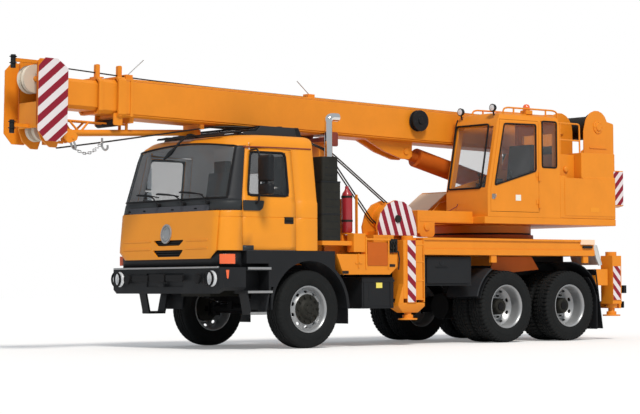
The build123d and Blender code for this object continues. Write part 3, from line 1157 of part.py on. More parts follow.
def make_boom_base():
    root = 250
    tube = boom_tube(0, 500, BASE_FRONT)
    # root: two cheeks round the pivot, joined to the tube
    arc = [(root * math.cos(a), root * math.sin(a)) for a in [math.radians(d) for d in range(80, 271, 19)]]
    cheek = [(520, BOOM_BOTTOM), (900, BOOM_BOTTOM), (900, BOOM_TOP), (520, BOOM_TOP + 60), (200, BOOM_TOP + 100)] + arc
    pieces = [tube]
    for side in (1, -1):
        plate = Part() + boom_prism(cheek, side * BOOM_HALF, side * (BOOM_HALF + 16))
        doubler = Part() + boom_prism(cheek, side * (BOOM_HALF - 40), side * BOOM_HALF)
        plate = plate + (doubler & boom_block(-300, MID_REAR - 30, -400, 400, -400, 400))
        boss = bar((PIVOT_X, side * (BOOM_HALF - 60), PIVOT_Z), (PIVOT_X, side * (CHEEK_INNER - RUN), PIVOT_Z), 110)
        plate = plate + boss
        pieces.append(plate)
    pieces.append(boom_block(300, 500, -BOOM_HALF, BOOM_HALF, BOOM_TOP - 10, BOOM_TOP))
    base = join(*pieces)
    base = base - bar((PIVOT_X, -400, PIVOT_Z), (PIVOT_X, 400, PIVOT_Z), PIVOT_RADIUS + RUN)
    # collar at the front end
    collar = Part() + front_prism([(y * 1.10, PIVOT_Z + w * 1.0 + (12 if w > 0 else -12))
                                   for y, w in section_outline(0, 0)], PIVOT_X + BASE_FRONT - 120, PIVOT_X + BASE_FRONT)
    hole = front_prism([(y, PIVOT_Z + w) for y, w in section_outline(0, BOOM_WALL)],
                       PIVOT_X + BASE_FRONT - 130, PIVOT_X + BASE_FRONT + 10)
    base = join(base, collar - hole, *wear_pads(0, BASE_FRONT - 200, BASE_FRONT))
    # lug for the lift cylinder, with its pin
    lug = [(LIFT_TOP_U - 120, BOOM_BOTTOM), (LIFT_TOP_U + 780, BOOM_BOTTOM), (LIFT_TOP_U + 420, LIFT_TOP_W - 20),
           (LIFT_TOP_U + 80, LIFT_TOP_W - 110), (LIFT_TOP_U - 60, LIFT_TOP_W - 110), (LIFT_TOP_U - 120, LIFT_TOP_W - 60)]
    half = LIFT_EYE_WIDTH / 2 + RUN
    for side in (1, -1):
        base = base + boom_prism(lug, side * half, side * (half + 45))
    pin_x = PIVOT_X + LIFT_TOP_U
    pin_z = PIVOT_Z + LIFT_TOP_W
    base = base + bar((pin_x, -half - 60, pin_z), (pin_x, half + 60, pin_z), LIFT_PIN_RADIUS)
    # roller bracket under the front end
    base = base + boom_block(BASE_FRONT - 100, BASE_FRONT - 20, -160, 160, BOOM_BOTTOM - 60, BOOM_BOTTOM - 12)
    # brackets that carry the stowed jib
    for u in (JIB_REAR_U + 60, BASE_FRONT - 260):
        base = base + boom_block(u - 30, u + 30, -200, 200, JIB_W + JIB_TUBE, BOOM_BOTTOM)
    save("boom_base", on_boom(base))


def make_boom_mid():
    tube = boom_tube(1, MID_REAR, MID_FRONT)
    foot = boom_block(MID_REAR, MID_REAR + 200, -120, 120, BOOM_BOTTOM + BOOM_WALL + RUN, BOOM_BOTTOM + BOOM_STEP)
    collar = Part() + front_prism([(y * 1.05, PIVOT_Z + w) for y, w in section_outline(1, -12)],
                                  PIVOT_X + MID_FRONT - 60, PIVOT_X + MID_FRONT)
    hole = front_prism([(y, PIVOT_Z + w) for y, w in section_outline(1, BOOM_WALL)],
                       PIVOT_X + MID_FRONT - 70, PIVOT_X + MID_FRONT + 10)
    save("boom_mid", on_boom(join(tube, foot, collar - hole, *wear_pads(1, MID_FRONT - 200, MID_FRONT))))


def make_boom_tip():
    tube = boom_tube(2, TIP_REAR, HEAD_REAR)
    inset = 2 * BOOM_STEP
    foot = boom_block(TIP_REAR, TIP_REAR + 200, -100, 100, BOOM_BOTTOM + BOOM_STEP + BOOM_WALL + RUN,
                      BOOM_BOTTOM + inset)
    # head: two side plates, a front plate and a curved chin, with shafts between
    head = [(HEAD_REAR, HEAD_TOP - 40), (HEAD_REAR + 60, HEAD_TOP), (HEAD_FRONT - 30, HEAD_TOP), (HEAD_FRONT, HEAD_TOP - 30),
            (HEAD_FRONT, HEAD_BOTTOM + 240), (HEAD_FRONT - 60, HEAD_BOTTOM + 90), (HEAD_FRONT - 190, HEAD_BOTTOM),
            (HEAD_FRONT - 290, HEAD_BOTTOM), (HEAD_REAR - 40, HEAD_BOTTOM + 150), (HEAD_REAR - 60, BOOM_BOTTOM + inset),
            (HEAD_REAR - 60, BOOM_TOP - inset)]
    pieces = [tube, foot]
    for side in (1, -1):
        pieces.append(boom_prism(head, side * HEAD_HALF, side * (HEAD_HALF - HEAD_PLATE)))
        pieces.append(boom_block(HEAD_REAR - 60, HEAD_REAR, side * (HEAD_HALF - HEAD_PLATE),
                                 side * (BOOM_HALF - inset - 5), -300, 80))
        # striped cheek plates outside the head, on short spacers
        sign = [(-220, 290), (-60, 400), (120, 400), (220, 290), (220, -520), (100, -650), (-80, -650), (-220, -520)]
        centre_u = HEAD_REAR + 190
        outline = [(centre_u + a, b - 120) for a, b in sign]
        pieces.append(boom_prism(outline, side * SIGN_HALF, side * (SIGN_HALF + 8)))
        for w in (120, -480):
            pieces.append(boom_block(centre_u - 30, centre_u + 30, side * HEAD_HALF, side * SIGN_HALF, w - 30, w + 30))
        # lamp arms at the front
    for w in (HEAD_TOP - 22, HEAD_BOTTOM + 270):
        pieces.append(boom_block(HEAD_FRONT - 160 if w > 0 else HEAD_FRONT - 10, HEAD_FRONT + 230, -25, 25, w - 22, w + 22))
        pieces.append(bar((PIVOT_X + HEAD_FRONT + 230, 0, PIVOT_Z + w - 100),
                          (PIVOT_X + HEAD_FRONT + 230, 0, PIVOT_Z + w + 60), 32))
    pieces.append(boom_block(HEAD_FRONT - 16, HEAD_FRONT, -HEAD_HALF, HEAD_HALF, HEAD_BOTTOM + 240, -260))
    pieces.append(boom_block(HEAD_REAR, HEAD_FRONT - 120, -HEAD_HALF, HEAD_HALF, HEAD_TOP - 60, HEAD_TOP - 44))
    for u, w, _, _ in SHEAVES:
        pieces.append(bar((PIVOT_X + u, -HEAD_HALF, PIVOT_Z + w), (PIVOT_X + u, HEAD_HALF, PIVOT_Z + w), SHEAVE_SHAFT))
    # foot of the head that takes the jib's pin
    for side in (1, -1):
        ear = boom_block(HEAD_REAR - 120, HEAD_REAR - 25, side * 150, side * 180, HEAD_BOTTOM + 60, HEAD_BOTTOM + 290)
        pieces.append(ear)
        pieces.append(boom_block(HEAD_REAR - 60, HEAD_REAR - 25, side * 150, side * HEAD_HALF,
                                 HEAD_BOTTOM + 200, HEAD_BOTTOM + 290))
    tip = join(*pieces)
    pin_u = PIVOT_X + HEAD_REAR - 80
    pin_w = PIVOT_Z + HEAD_BOTTOM + 110
    tip = tip - bar((pin_u, -200, pin_w), (pin_u, 200, pin_w), JIB_PIN_RADIUS)
    save("boom_tip", on_boom(tip))


def make_sheaves():
    """Rope sheaves on the head's two shafts."""
    groups = []
    for u, w, radius, middles in SHEAVES:
        for y in middles:
            profile = [(y - 30, SHEAVE_SHAFT + RUN), (y - 30, radius), (y - 12, radius - 22),
                       (y + 12, radius - 22), (y + 30, radius), (y + 30, SHEAVE_SHAFT + RUN)]
            groups.append(turned(profile, PIVOT_X + u, PIVOT_Z + w))
    save("head_sheaves", on_boom(Part() + groups))


def make_jib():
    """Stowed jib: two tubes that meet at the rear, with braces up to a thin top rod."""
    pieces = []
    x0 = PIVOT_X + JIB_REAR_U
    x1 = PIVOT_X + JIB_FRONT_U
    z = PIVOT_Z + JIB_W
    drop = 150
    for side in (1, -1):
        pieces.append(bar((x0 + 60, side * 40, z), (x1, side * 95, z - drop), JIB_TUBE))
    pieces.append(block(x0, x0 + 120, -80, 80, z - JIB_TUBE, z + JIB_TUBE - RUN))
    pieces.append(bar((x1 - 60, -95, z - drop + 4), (x1 - 60, 95, z - drop + 4), 25))
    rod_z = z + 20
    mid_x = PIVOT_X + BASE_FRONT - 260
    for side in (1, -1):
        pieces.append(bar((mid_x, side * 80, z - 0.52 * drop), (mid_x, side * 80, z + JIB_TUBE - RUN), 20))
        for a, b in ((-0.0, -0.15), (-0.3, -0.15)):
            pieces.append(bar((x1 + a * 1000 - 120, side * 60, rod_z), (x1 + b * 1000 - 120, side * 90, z - 0.9 * drop), 14))
        pieces.append(bar((mid_x, side * 60, rod_z), (x1 - 100, side * 60, rod_z), 12))
    save("jib", on_boom(join(*pieces)))


def lift_line():
    """Pins of the lift cylinder at rest, in the row frame: on the boom, and on the turret."""
    top = boom_point(LIFT_TOP_U, LIFT_TOP_W)
    return Vector(top[0], 0, top[1]), Vector(LIFT_FOOT_X, 0, LIFT_FOOT_Z)


def make_lift_cylinder():
    top, foot = lift_line()
    along = (foot - top).normalized()
    half = LIFT_EYE_WIDTH / 2

    def point(distance):
        return tuple(top + along * distance)

    eye = bar((top.X, -half, top.Z), (top.X, half, top.Z), LIFT_EYE_RADIUS)
    neck = bar(point(LIFT_EYE_RADIUS - 30), point(BARREL_START + 10), LIFT_EYE_RADIUS - 10)
    barrel = join(eye, neck, bar(point(BARREL_START), point(BARREL_LENGTH), BARREL_RADIUS))
    gland = bar(point(BARREL_LENGTH - 90), point(BARREL_LENGTH), BARREL_RADIUS + 18)
    barrel = join(barrel, gland)
    barrel = barrel - bar((top.X, -half - 1, top.Z), (top.X, half + 1, top.Z), LIFT_PIN_RADIUS + RUN)
    barrel = barrel - bar(point(BARREL_START + 25), point(BARREL_LENGTH + 1), LIFT_ROD_RADIUS + RUN)
    save("lift_barrel", barrel)
    foot_eye = bar((foot.X, -half, foot.Z), (foot.X, half, foot.Z), LIFT_EYE_RADIUS)
    length = (foot - top).length
    rod = join(foot_eye, bar(point(BARREL_START + 40), point(length - 40), LIFT_ROD_RADIUS))
    rod = rod - bar((foot.X, -half - 1, foot.Z), (foot.X, half + 1, foot.Z), LIFT_PIN_RADIUS)
    save("lift_rod", rod)


make_wheels()
for knuckle_name, knuckle_side in RIGHT_AND_LEFT:
    save(f"knuckle_{knuckle_name}", knuckle(knuckle_side))
make_axles()
make_chassis()
make_engine()
make_bumper()
make_lamps()
make_truck_cab()
make_doors()
make_cab_glass()
make_front_panel()
make_cab_interior()
make_roof_rack()
make_rear_mudguards(make_front_arches())
make_side_boxes()
make_exhaust()
make_red_bottle()
make_deck()
make_outriggers()
make_hook_block()
make_slew_ring()
make_turret()
make_counterweight()
make_winch_drum()
make_crane_cab()
make_crane_door()
make_crane_glass()
make_crane_seat()
make_housings()
make_boom_base()
make_boom_mid()
make_boom_tip()
make_sheaves()
make_jib()
make_lift_cylinder()
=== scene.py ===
"""Looks of the truck-mounted crane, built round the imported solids. Metres, +X forward, +Y left, +Z up."""
import json
import math

import bmesh
import bpy
from mathutils import Matrix, Vector

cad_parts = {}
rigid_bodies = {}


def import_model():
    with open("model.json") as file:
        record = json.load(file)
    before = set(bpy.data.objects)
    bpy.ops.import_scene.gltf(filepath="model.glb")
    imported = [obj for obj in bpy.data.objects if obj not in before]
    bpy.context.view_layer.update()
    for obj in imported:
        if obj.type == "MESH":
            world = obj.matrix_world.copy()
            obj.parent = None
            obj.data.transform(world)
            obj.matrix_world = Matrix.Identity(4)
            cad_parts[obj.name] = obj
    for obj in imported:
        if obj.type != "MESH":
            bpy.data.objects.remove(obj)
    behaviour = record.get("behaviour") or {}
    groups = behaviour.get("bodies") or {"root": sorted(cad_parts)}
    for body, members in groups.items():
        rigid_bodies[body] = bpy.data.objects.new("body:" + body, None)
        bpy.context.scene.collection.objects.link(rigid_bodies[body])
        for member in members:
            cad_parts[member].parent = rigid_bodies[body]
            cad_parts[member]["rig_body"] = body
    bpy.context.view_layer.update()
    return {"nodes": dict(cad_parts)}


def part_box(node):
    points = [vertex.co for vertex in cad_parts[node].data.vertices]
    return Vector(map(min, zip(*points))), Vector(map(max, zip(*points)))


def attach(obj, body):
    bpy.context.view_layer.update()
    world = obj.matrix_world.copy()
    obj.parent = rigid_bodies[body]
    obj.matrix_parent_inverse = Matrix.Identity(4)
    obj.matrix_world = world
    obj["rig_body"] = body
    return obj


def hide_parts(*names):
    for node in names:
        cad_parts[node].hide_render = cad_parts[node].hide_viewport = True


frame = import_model()

AXLE = 1.40                    # X of the front axle
REAR_AXLES = (-2.30, -3.62)
HUB_Z = 0.522
SIDES = (("left", 1), ("right", -1))
BOOM_TILT = math.radians(1.35)
PIVOT = Vector((-4.40, 0, 3.22))                 # of the boom
BOOM_TURN = Matrix.Translation(PIVOT) @ Matrix.Rotation(-BOOM_TILT, 4, "Y") @ Matrix.Translation(-PIVOT)
RING_X = -2.96                 # of the slewing ring
WINCH = Vector((-4.91, 0, 3.28))
FLANK = 1.25                   # half width of the carrier and the superstructure


# ---------------------------------------------------------------- materials
def material(name, colour, rough=0.5, metal=0.0, coat=0.0, spread=0.0, scale=3.0, bump=0.0, alpha=1.0,
             glow=None, shine=0.5):
    """Principled material; spread varies the colour and bump roughens the surface by noise in object space."""
    m = bpy.data.materials.new(name)
    m.use_nodes = True
    nodes = m.node_tree.nodes
    links = m.node_tree.links
    shader = nodes["Principled BSDF"]
    shader.inputs["Base Color"].default_value = (*colour, 1)
    shader.inputs["Roughness"].default_value = rough
    shader.inputs["Metallic"].default_value = metal
    shader.inputs["Specular IOR Level"].default_value = shine
    shader.inputs["Coat Weight"].default_value = coat
    shader.inputs["Coat Roughness"].default_value = 0.12
    shader.inputs["Alpha"].default_value = alpha
    if glow:
        shader.inputs["Emission Color"].default_value = (*colour, 1)
        shader.inputs["Emission Strength"].default_value = glow
    place = nodes.new("ShaderNodeTexCoord")
    if spread:
        noise = nodes.new("ShaderNodeTexNoise")
        noise.inputs["Scale"].default_value = scale
        noise.inputs["Detail"].default_value = 6
        noise.inputs["Roughness"].default_value = 0.65
        links.new(place.outputs["Object"], noise.inputs["Vector"])
        ramp = nodes.new("ShaderNodeValToRGB")
        ramp.color_ramp.elements[0].position = 0.3
        ramp.color_ramp.elements[1].position = 0.7
        for element, gain in zip(ramp.color_ramp.elements, (1 - spread, 1 + spread * 0.6)):
            element.color = (*(min(1, c * gain) for c in colour), 1)
        links.new(noise.outputs["Fac"], ramp.inputs["Fac"])
        links.new(ramp.outputs["Color"], shader.inputs["Base Color"])
    if bump:
        fine = nodes.new("ShaderNodeTexNoise")
        fine.inputs["Scale"].default_value = 60
        fine.inputs["Detail"].default_value = 3
        links.new(place.outputs["Object"], fine.inputs["Vector"])
        relief = nodes.new("ShaderNodeBump")
        relief.inputs["Strength"].default_value = bump
        relief.inputs["Distance"].default_value = 0.002
        links.new(fine.outputs["Fac"], relief.inputs["Height"])
        links.new(relief.outputs["Normal"], shader.inputs["Normal"])
    return m


CAB_PAINT = material("cab_paint", (0.80, 0.285, 0.016), 0.42, coat=0.12, spread=0.03, shine=0.25)
PAINT = material("crane_paint", (0.77, 0.252, 0.015), 0.46, coat=0.08, spread=0.06, shine=0.25)
# painted shade: a darker copy of the crane paint, for crane parts that lie in shadow
SHADED_PAINT = material("crane_paint_shaded", (0.52, 0.110, 0.010), 0.5, spread=0.08, shine=0.2)
CREAM = material("cream_paint", (0.92, 0.64, 0.45), 0.5, spread=0.04, shine=0.3)
BLACK = material("black_plastic", (0.012, 0.013, 0.015), 0.5, spread=0.15, bump=0.08, shine=0.22)
GREY = material("grey_plastic", (0.026, 0.028, 0.032), 0.5, spread=0.12, bump=0.08, shine=0.25)
CHASSIS = material("chassis_black", (0.007, 0.007, 0.008), 0.6, spread=0.2, shine=0.15)
DARK = material("dark_metal", (0.020, 0.0195, 0.016), 0.6, metal=0.1, spread=0.2, scale=8, shine=0.2)
RUBBER = material("tyre_rubber", (0.009, 0.010, 0.0105), 0.8, spread=0.18, scale=9, bump=0.2, shine=0.2)
SEAL = material("seal_rubber", (0.007, 0.007, 0.008), 0.6, shine=0.2)
BAND = material("band_plastic", (0.026, 0.030, 0.033), 0.5, spread=0.12, shine=0.25)
SILVER = material("silver_paint", (0.36, 0.37, 0.38), 0.36, metal=0.5, spread=0.06)
STEEL = material("worn_steel", (0.42, 0.42, 0.42), 0.38, metal=0.85, spread=0.12, scale=14)
CHROME = material("chrome", (0.86, 0.85, 0.83), 0.10, metal=1.0)
MIRROR = material("mirror_glass", (0.85, 0.87, 0.88), 0.03, metal=1.0)
GLASS = material("window_glass", (0.20, 0.22, 0.23), 0.04, alpha=0.13, coat=0.3, shine=0.3)
CAB_GLASS = material("windscreen_glass", (0.09, 0.10, 0.105), 0.04, alpha=0.24, coat=0.3, shine=0.4)
LAMP = material("lamp_glass", (0.80, 0.82, 0.84), 0.08, coat=1.0)
AMBER = material("amber_lens", (0.85, 0.13, 0.03), 0.18, coat=0.8)
RED_LENS = material("red_lens", (0.45, 0.01, 0.01), 0.2, coat=0.8)
RED = material("red_paint", (0.36, 0.018, 0.026), 0.35, coat=0.3, spread=0.06)
WHITE = material("white_sheet", (0.72, 0.66, 0.67), 0.5, spread=0.04, shine=0.3)
STRIPE = material("red_sheet", (0.25, 0.010, 0.026), 0.5, spread=0.06, shine=0.25)
ROPE = material("rope_steel", (0.035, 0.033, 0.030), 0.45, metal=0.6, spread=0.3, scale=40)
DRUM = material("greased_rope", (0.022, 0.017, 0.013), 0.42, metal=0.4, spread=0.3, scale=25)
LIGHT_SHEET = material("light_sheet", (0.55, 0.56, 0.56), 0.45, spread=0.05, shine=0.3)
BEIGE = material("sheave_nylon", (0.62, 0.55, 0.45), 0.5, spread=0.06)
SEAT = material("seat_cloth", (0.055, 0.058, 0.070), 0.9, spread=0.15, scale=30)
# painted light: the cab's inner lining glows faintly, though it is no lamp
GLOWING_LINING = material("cab_lining_painted_glow", (0.55, 0.55, 0.56), 0.8, spread=0.05, glow=0.10)
LABEL = material("plain_label", (0.80, 0.78, 0.70), 0.5)
YELLOW = material("label_yellow", (0.80, 0.68, 0.12), 0.5)
# painted shade: near-black put in slots, recesses and openings in place of their shadow
SHADE_BLACK = material("painted_shade_black", (0.006, 0.006, 0.006), 0.9)
# dark red-brown; on the cab's gutters it is painted shade under the gutter
DARK_RED_BROWN = material("dark_red_brown", (0.22, 0.035, 0.020), 0.65, spread=0.2)


# ---------------------------------------------------------------- shapes
def span(side, near, far):
    """Low and high Y between two distances outward from the middle plane, on the side 1 or -1."""
    return sorted((side * near, side * far))


def other_axes(axis):
    return [i for i in range(3) if i != "xyz".index(axis)]


def lift(axis, value, point):
    """3-D point from a value along an axis and a 2-D point on the other two axes, in X, Y, Z order."""
    out = [0, 0, 0]
    out["xyz".index(axis)] = value
    for i, v in zip(other_axes(axis), point):
        out[i] = v
    return Vector(out)


def fillet(points, radius, steps=5, closed=True):
    """2-D or 3-D path with its corners rounded."""
    points = [Vector(p) for p in points]
    out = []
    count = len(points)
    for i, p in enumerate(points):
        if not closed and i in (0, count - 1):
            out.append(p)
            continue
        a = points[i - 1] - p
        b = points[(i + 1) % count] - p
        reach = min(radius, a.length * 0.48, b.length * 0.48)
        start = p + a.normalized() * reach
        end = p + b.normalized() * reach
        for k in range(steps + 1):
            t = k / steps
            out.append((1 - t) ** 2 * start + 2 * t * (1 - t) * p + t ** 2 * end)
    return out


class Shape:
    """Closed shells collected into one object."""

    def __init__(self):
        self.bm = bmesh.new()

    def skin(self, rings, closed=False):
        """Skin over a row of rings, with ends or closed round into a loop."""
        rows = [[self.bm.verts.new(p) for p in ring] for ring in rings]
        count = len(rows[0])
        pairs = list(zip(rows, rows[1:])) + ([(rows[-1], rows[0])] if closed else [])
        faces = []
        for a, b in pairs:
            for i in range(count):
                j = (i + 1) % count
                faces.append(self.bm.faces.new((a[i], a[j], b[j], b[i])))
        if not closed:
            faces.append(self.bm.faces.new(rows[0][::-1]))
            faces.append(self.bm.faces.new(rows[-1]))
        bmesh.ops.recalc_face_normals(self.bm, faces=faces)
        return self

    def prism(self, axis, outline, lo, hi):
        return self.skin([[lift(axis, v, p) for p in outline] for v in (lo, hi)])

    def box(self, x0, x1, y0, y1, z0, z1):
        return self.prism("z", [(x0, y0), (x1, y0), (x1, y1), (x0, y1)], z0, z1)

    def rounded(self, axis, a0, a1, b0, b1, lo, hi, radius):
        outline = fillet([(a0, b0), (a1, b0), (a1, b1), (a0, b1)], radius)
        return self.prism(axis, outline, lo, hi)

    def cyl(self, start, end, radius, n=24):
        return self.sweep([start, end], radius, n)

    def sweep(self, path, radii, n=10, closed=False):
        """Round section along a path of points."""
        path = [Vector(p) for p in path]
        if not isinstance(radii, (list, tuple)):
            radii = [radii] * len(path)
        rings = []
        side = None
        last = len(path) - 1
        for i, p in enumerate(path):
            before = path[i - 1] if i or closed else p
            after = path[(i + 1) % len(path)] if i < last or closed else p
            ahead = (after - before).normalized()
            if side is None:
                side = ahead.orthogonal().normalized()
            side = (side - ahead * side.dot(ahead)).normalized()
            up = ahead.cross(side)
            rings.append([p + radii[i] * (math.cos(t) * side + math.sin(t) * up)
                          for t in (math.tau * k / n for k in range(n))])
        return self.skin(rings, closed)

    def lathe(self, profile, centre, axis="y", n=48):
        """Closed profile of (distance along the axis, radius) turned about an axis through centre."""
        centre = Vector(centre)
        rings = []
        for k in range(n):
            t = math.tau * k / n
            rings.append([centre + lift(axis, a, (r * math.cos(t), r * math.sin(t))) for a, r in profile])
        return self.skin(rings, closed=True)

    def bolts(self, centre, axis, circle, count, radius, lo, hi):
        """Hexagon heads on a circle."""
        for k in range(count):
            t = math.tau * k / count
            spot = (circle * math.cos(t), circle * math.sin(t))
            self.cyl(Vector(centre) + lift(axis, lo, spot), Vector(centre) + lift(axis, hi, spot), radius, n=6)
        return self

    def done(self, name, body, mat, slot=None, bevel=0.0, replaces=(), angle=35, tilt=False):
        """Object from the shells, welded; tilt lays what is drawn beside the level boom on the raised one."""
        mesh = bpy.data.meshes.new(name)
        if tilt:
            bmesh.ops.transform(self.bm, matrix=BOOM_TURN, verts=self.bm.verts)
        bmesh.ops.remove_doubles(self.bm, verts=self.bm.verts, dist=1e-6)
        self.bm.to_mesh(mesh)
        self.bm.free()
        return present(mesh, name, body, mat, bevel, replaces, angle)


def present(mesh, name, body, mat, bevel=0.0, replaces=(), angle=35):
    """Object from a mesh: smooth where it is round, with soft edges, riding on a body."""
    obj = bpy.data.objects.new(name, mesh)
    bpy.context.scene.collection.objects.link(obj)
    mesh.materials.clear()
    for m in (mat if isinstance(mat, list) else [mat]):
        mesh.materials.append(m)
    mesh.polygons.foreach_set("use_smooth", [True] * len(mesh.polygons))
    if bevel:
        soft = obj.modifiers.new("bevel", "BEVEL")
        soft.width = bevel
        soft.segments = 2
        soft.limit_method = "ANGLE"
        soft.angle_limit = math.radians(angle)
        soft.miter_outer = "MITER_ARC"
        tidy = obj.modifiers.new("normals", "WEIGHTED_NORMAL")
        tidy.keep_sharp = True
    else:
        mesh.set_sharp_from_angle(angle=math.radians(angle))
    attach(obj, body)
    if replaces:
        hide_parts(*replaces)
    return obj


def dress(node, mat, bevel=0.004):
    """A CAD node's own form with soft edges."""
    source = frame["nodes"][node]
    bm = bmesh.new()
    bm.from_mesh(source.data)
    bmesh.ops.remove_doubles(bm, verts=bm.verts, dist=1e-5)
    bmesh.ops.dissolve_limit(bm, angle_limit=math.radians(0.6), verts=bm.verts, edges=bm.edges)
    mesh = bpy.data.meshes.new(node + "_skin")
    bm.to_mesh(mesh)
    bm.free()
    return present(mesh, node + "_skin", source["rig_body"], mat, bevel, (node,))


def clip(polygon, normal, low, high):
    """The part of a convex polygon between two lines across a direction."""
    for sign, limit in ((1, low), (-1, -high)):
        kept = []
        for i, p in enumerate(polygon):
            q = polygon[(i + 1) % len(polygon)]
            a = sign * p.dot(normal) - limit
            b = sign * q.dot(normal) - limit
            if a >= 0:
                kept.append(p)
            if (a > 0) != (b > 0) and a != b:
                kept.append(p.lerp(q, a / (a - b)))
        polygon = kept
        if len(polygon) < 3:
            return []
    return polygon


def stripes(name, body, slot, side, reach, outline, degrees, period, shift=0.0, tilt=False):
    """Red and white bands on a flat convex plate that faces a side. The bands run at an angle from X."""
    lo, hi = span(side, reach, reach + 0.002)
    turn = math.radians(degrees)
    normal = Vector((-math.sin(turn), math.cos(turn)))
    polygon = [Vector(p) for p in outline]
    spread = [p.dot(normal) for p in polygon]
    first = math.floor(min(spread) / period) - 1
    for word, mat, a, b in (("red", STRIPE, 0, 0.5), ("white", WHITE, 0.5, 1)):
        shape = Shape()
        found = False
        for k in range(first, math.ceil(max(spread) / period) + 2):
            band = clip(polygon, normal, (k + a + shift) * period, (k + b + shift) * period)
            if len(band) > 2:
                shape.prism("y", band, lo, hi)
                found = True
        if found:
            shape.done(f"{name}_{word}", body, mat, slot, tilt=tilt)


# ---------------------------------------------------------------- wheels
def tyre(name, body, x, y, lugs, replaces=()):
    """Tyre with zigzag grooves round it and, on driven wheels, lugs across its shoulders."""
    half = 0.1525
    side = [(0.1172, 0.2915), (0.1172, 0.3125), (0.1290, 0.3180), (0.1330, 0.3290), (0.1415, 0.3420),
            (0.1480, 0.3700), (0.1520, 0.4050), (half, 0.4120), (0.1500, 0.4160), (0.1505, 0.4300), (0.1475, 0.4620)]
    shoulder = [(0.1440, 0.4800), (0.1400, 0.4980), (0.1300, 0.5120)]
    crown = [0.112, 0.078, 0.074, 0.064, 0.060, 0.030, 0.026, 0.016, 0.012]
    grooves = (2, 3, 6, 7)             # of the crown's points
    count = 52
    rows = []
    for i in range(count):
        for k, share in enumerate((0.0, 0.56, 0.62, 0.94)):
            t = math.tau * (i + share) / count
            rows.append((t, k > 1, (-1) ** i * 0.006))
    rings = []
    for t, gap, sway in rows:
        ring = list(side)
        for a, r in shoulder:
            ring.append((a, r - (0.011 if gap and lugs else 0.003 if gap else 0)))
        for i, a in enumerate(crown):
            r = 0.5215 - 0.004 * (a / 0.11) ** 2
            if i in grooves or (gap and lugs and i < 5):
                r -= 0.013
            ring.append((a + (sway if i else 0), r))
        left = [(-a, r) for a, r in ring[::-1]]
        rings.append([Vector((x + r * math.cos(t), y + a, HUB_Z + r * math.sin(t))) for a, r in ring + left])
    shape = Shape()
    shape.skin(rings, closed=True)
    shape.done(name, body, RUBBER, replaces=replaces, angle=40)


def cut(obj, tools):
    """Takes closed shapes out of an object, and removes them."""
    for tool in tools:
        m = obj.modifiers.new("cut", "BOOLEAN")
        m.object = tool
        m.operation = "DIFFERENCE"
        m.solver = "EXACT"
    bpy.context.view_layer.update()
    mesh = bpy.data.meshes.new_from_object(obj.evaluated_get(bpy.context.evaluated_depsgraph_get()))
    obj.modifiers.clear()
    obj.data = mesh
    for tool in tools:
        bpy.data.objects.remove(tool)
    mesh.set_sharp_from_angle(angle=math.radians(35))


def loose(shape):
    """A shape as a bare object, for cutting."""
    mesh = bpy.data.meshes.new("tool")
    shape.bm.to_mesh(mesh)
    shape.bm.free()
    obj = bpy.data.objects.new("tool", mesh)
    bpy.context.scene.collection.objects.link(obj)
    return obj


def hand_holes(x, y0, y1, count, circle, tall, wide):
    """Oval bars through a rim's disc, for cutting."""
    holes = Shape()
    for k in range(count):
        t = math.tau * (k + 0.5) / count
        radial = Vector((math.cos(t), 0, math.sin(t)))
        across = Vector((0, 1, 0)).cross(radial)
        spot = Vector((x, 0, HUB_Z)) + circle * radial
        holes.skin([[spot + Vector((0, y, 0)) + tall * math.cos(q) * radial + wide * math.sin(q) * across
                     for q in (math.tau * j / 16 for j in range(16))] for y in (y0, y1)])
    return loose(holes)


def front_rim(name, body, x, y, side, replaces):
    out = [(-0.132, 0.311), (-0.132, 0.301), (-0.116, 0.284), (-0.080, 0.276), (-0.052, 0.262), (0.030, 0.262),
           (0.052, 0.236), (0.070, 0.202), (0.082, 0.190), (0.082, 0.176), (0.096, 0.176), (0.096, 0.192),
           (0.084, 0.208), (0.066, 0.240), (0.060, 0.264), (0.084, 0.275), (0.112, 0.283), (0.130, 0.297),
           (0.136, 0.306), (0.134, 0.314), (0.127, 0.313), (0.118, 0.293), (-0.118, 0.293), (-0.122, 0.311)]
    shape = Shape()
    shape.lathe([(y + side * a, r) for a, r in out], (x, 0, HUB_Z), n=72)
    rim = shape.done(name, body, SILVER, replaces=replaces)
    cut(rim, [hand_holes(x, y + side * 0.02, y + side * 0.14, 10, 0.233, 0.019, 0.030)])
    hub = Shape()
    hub.lathe([(y + side * a, r) for a, r in
               [(0.020, 0.001), (0.020, 0.178), (0.094, 0.178), (0.094, 0.200), (0.102, 0.204), (0.108, 0.198),
                (0.112, 0.140), (0.128, 0.124), (0.140, 0.112), (0.146, 0.100), (0.146, 0.052), (0.156, 0.046),
                (0.156, 0.001)]],
              (x, 0, HUB_Z))
    hub.bolts((x, y, HUB_Z), "y", 0.168, 10, 0.0165, side * 0.108, side * 0.136)
    hub.bolts((x, y, HUB_Z), "y", 0.070, 6, 0.007, side * 0.150, side * 0.162)
    hub.done(name + "_hub", body, DARK, "rim_silver", bevel=0.002)


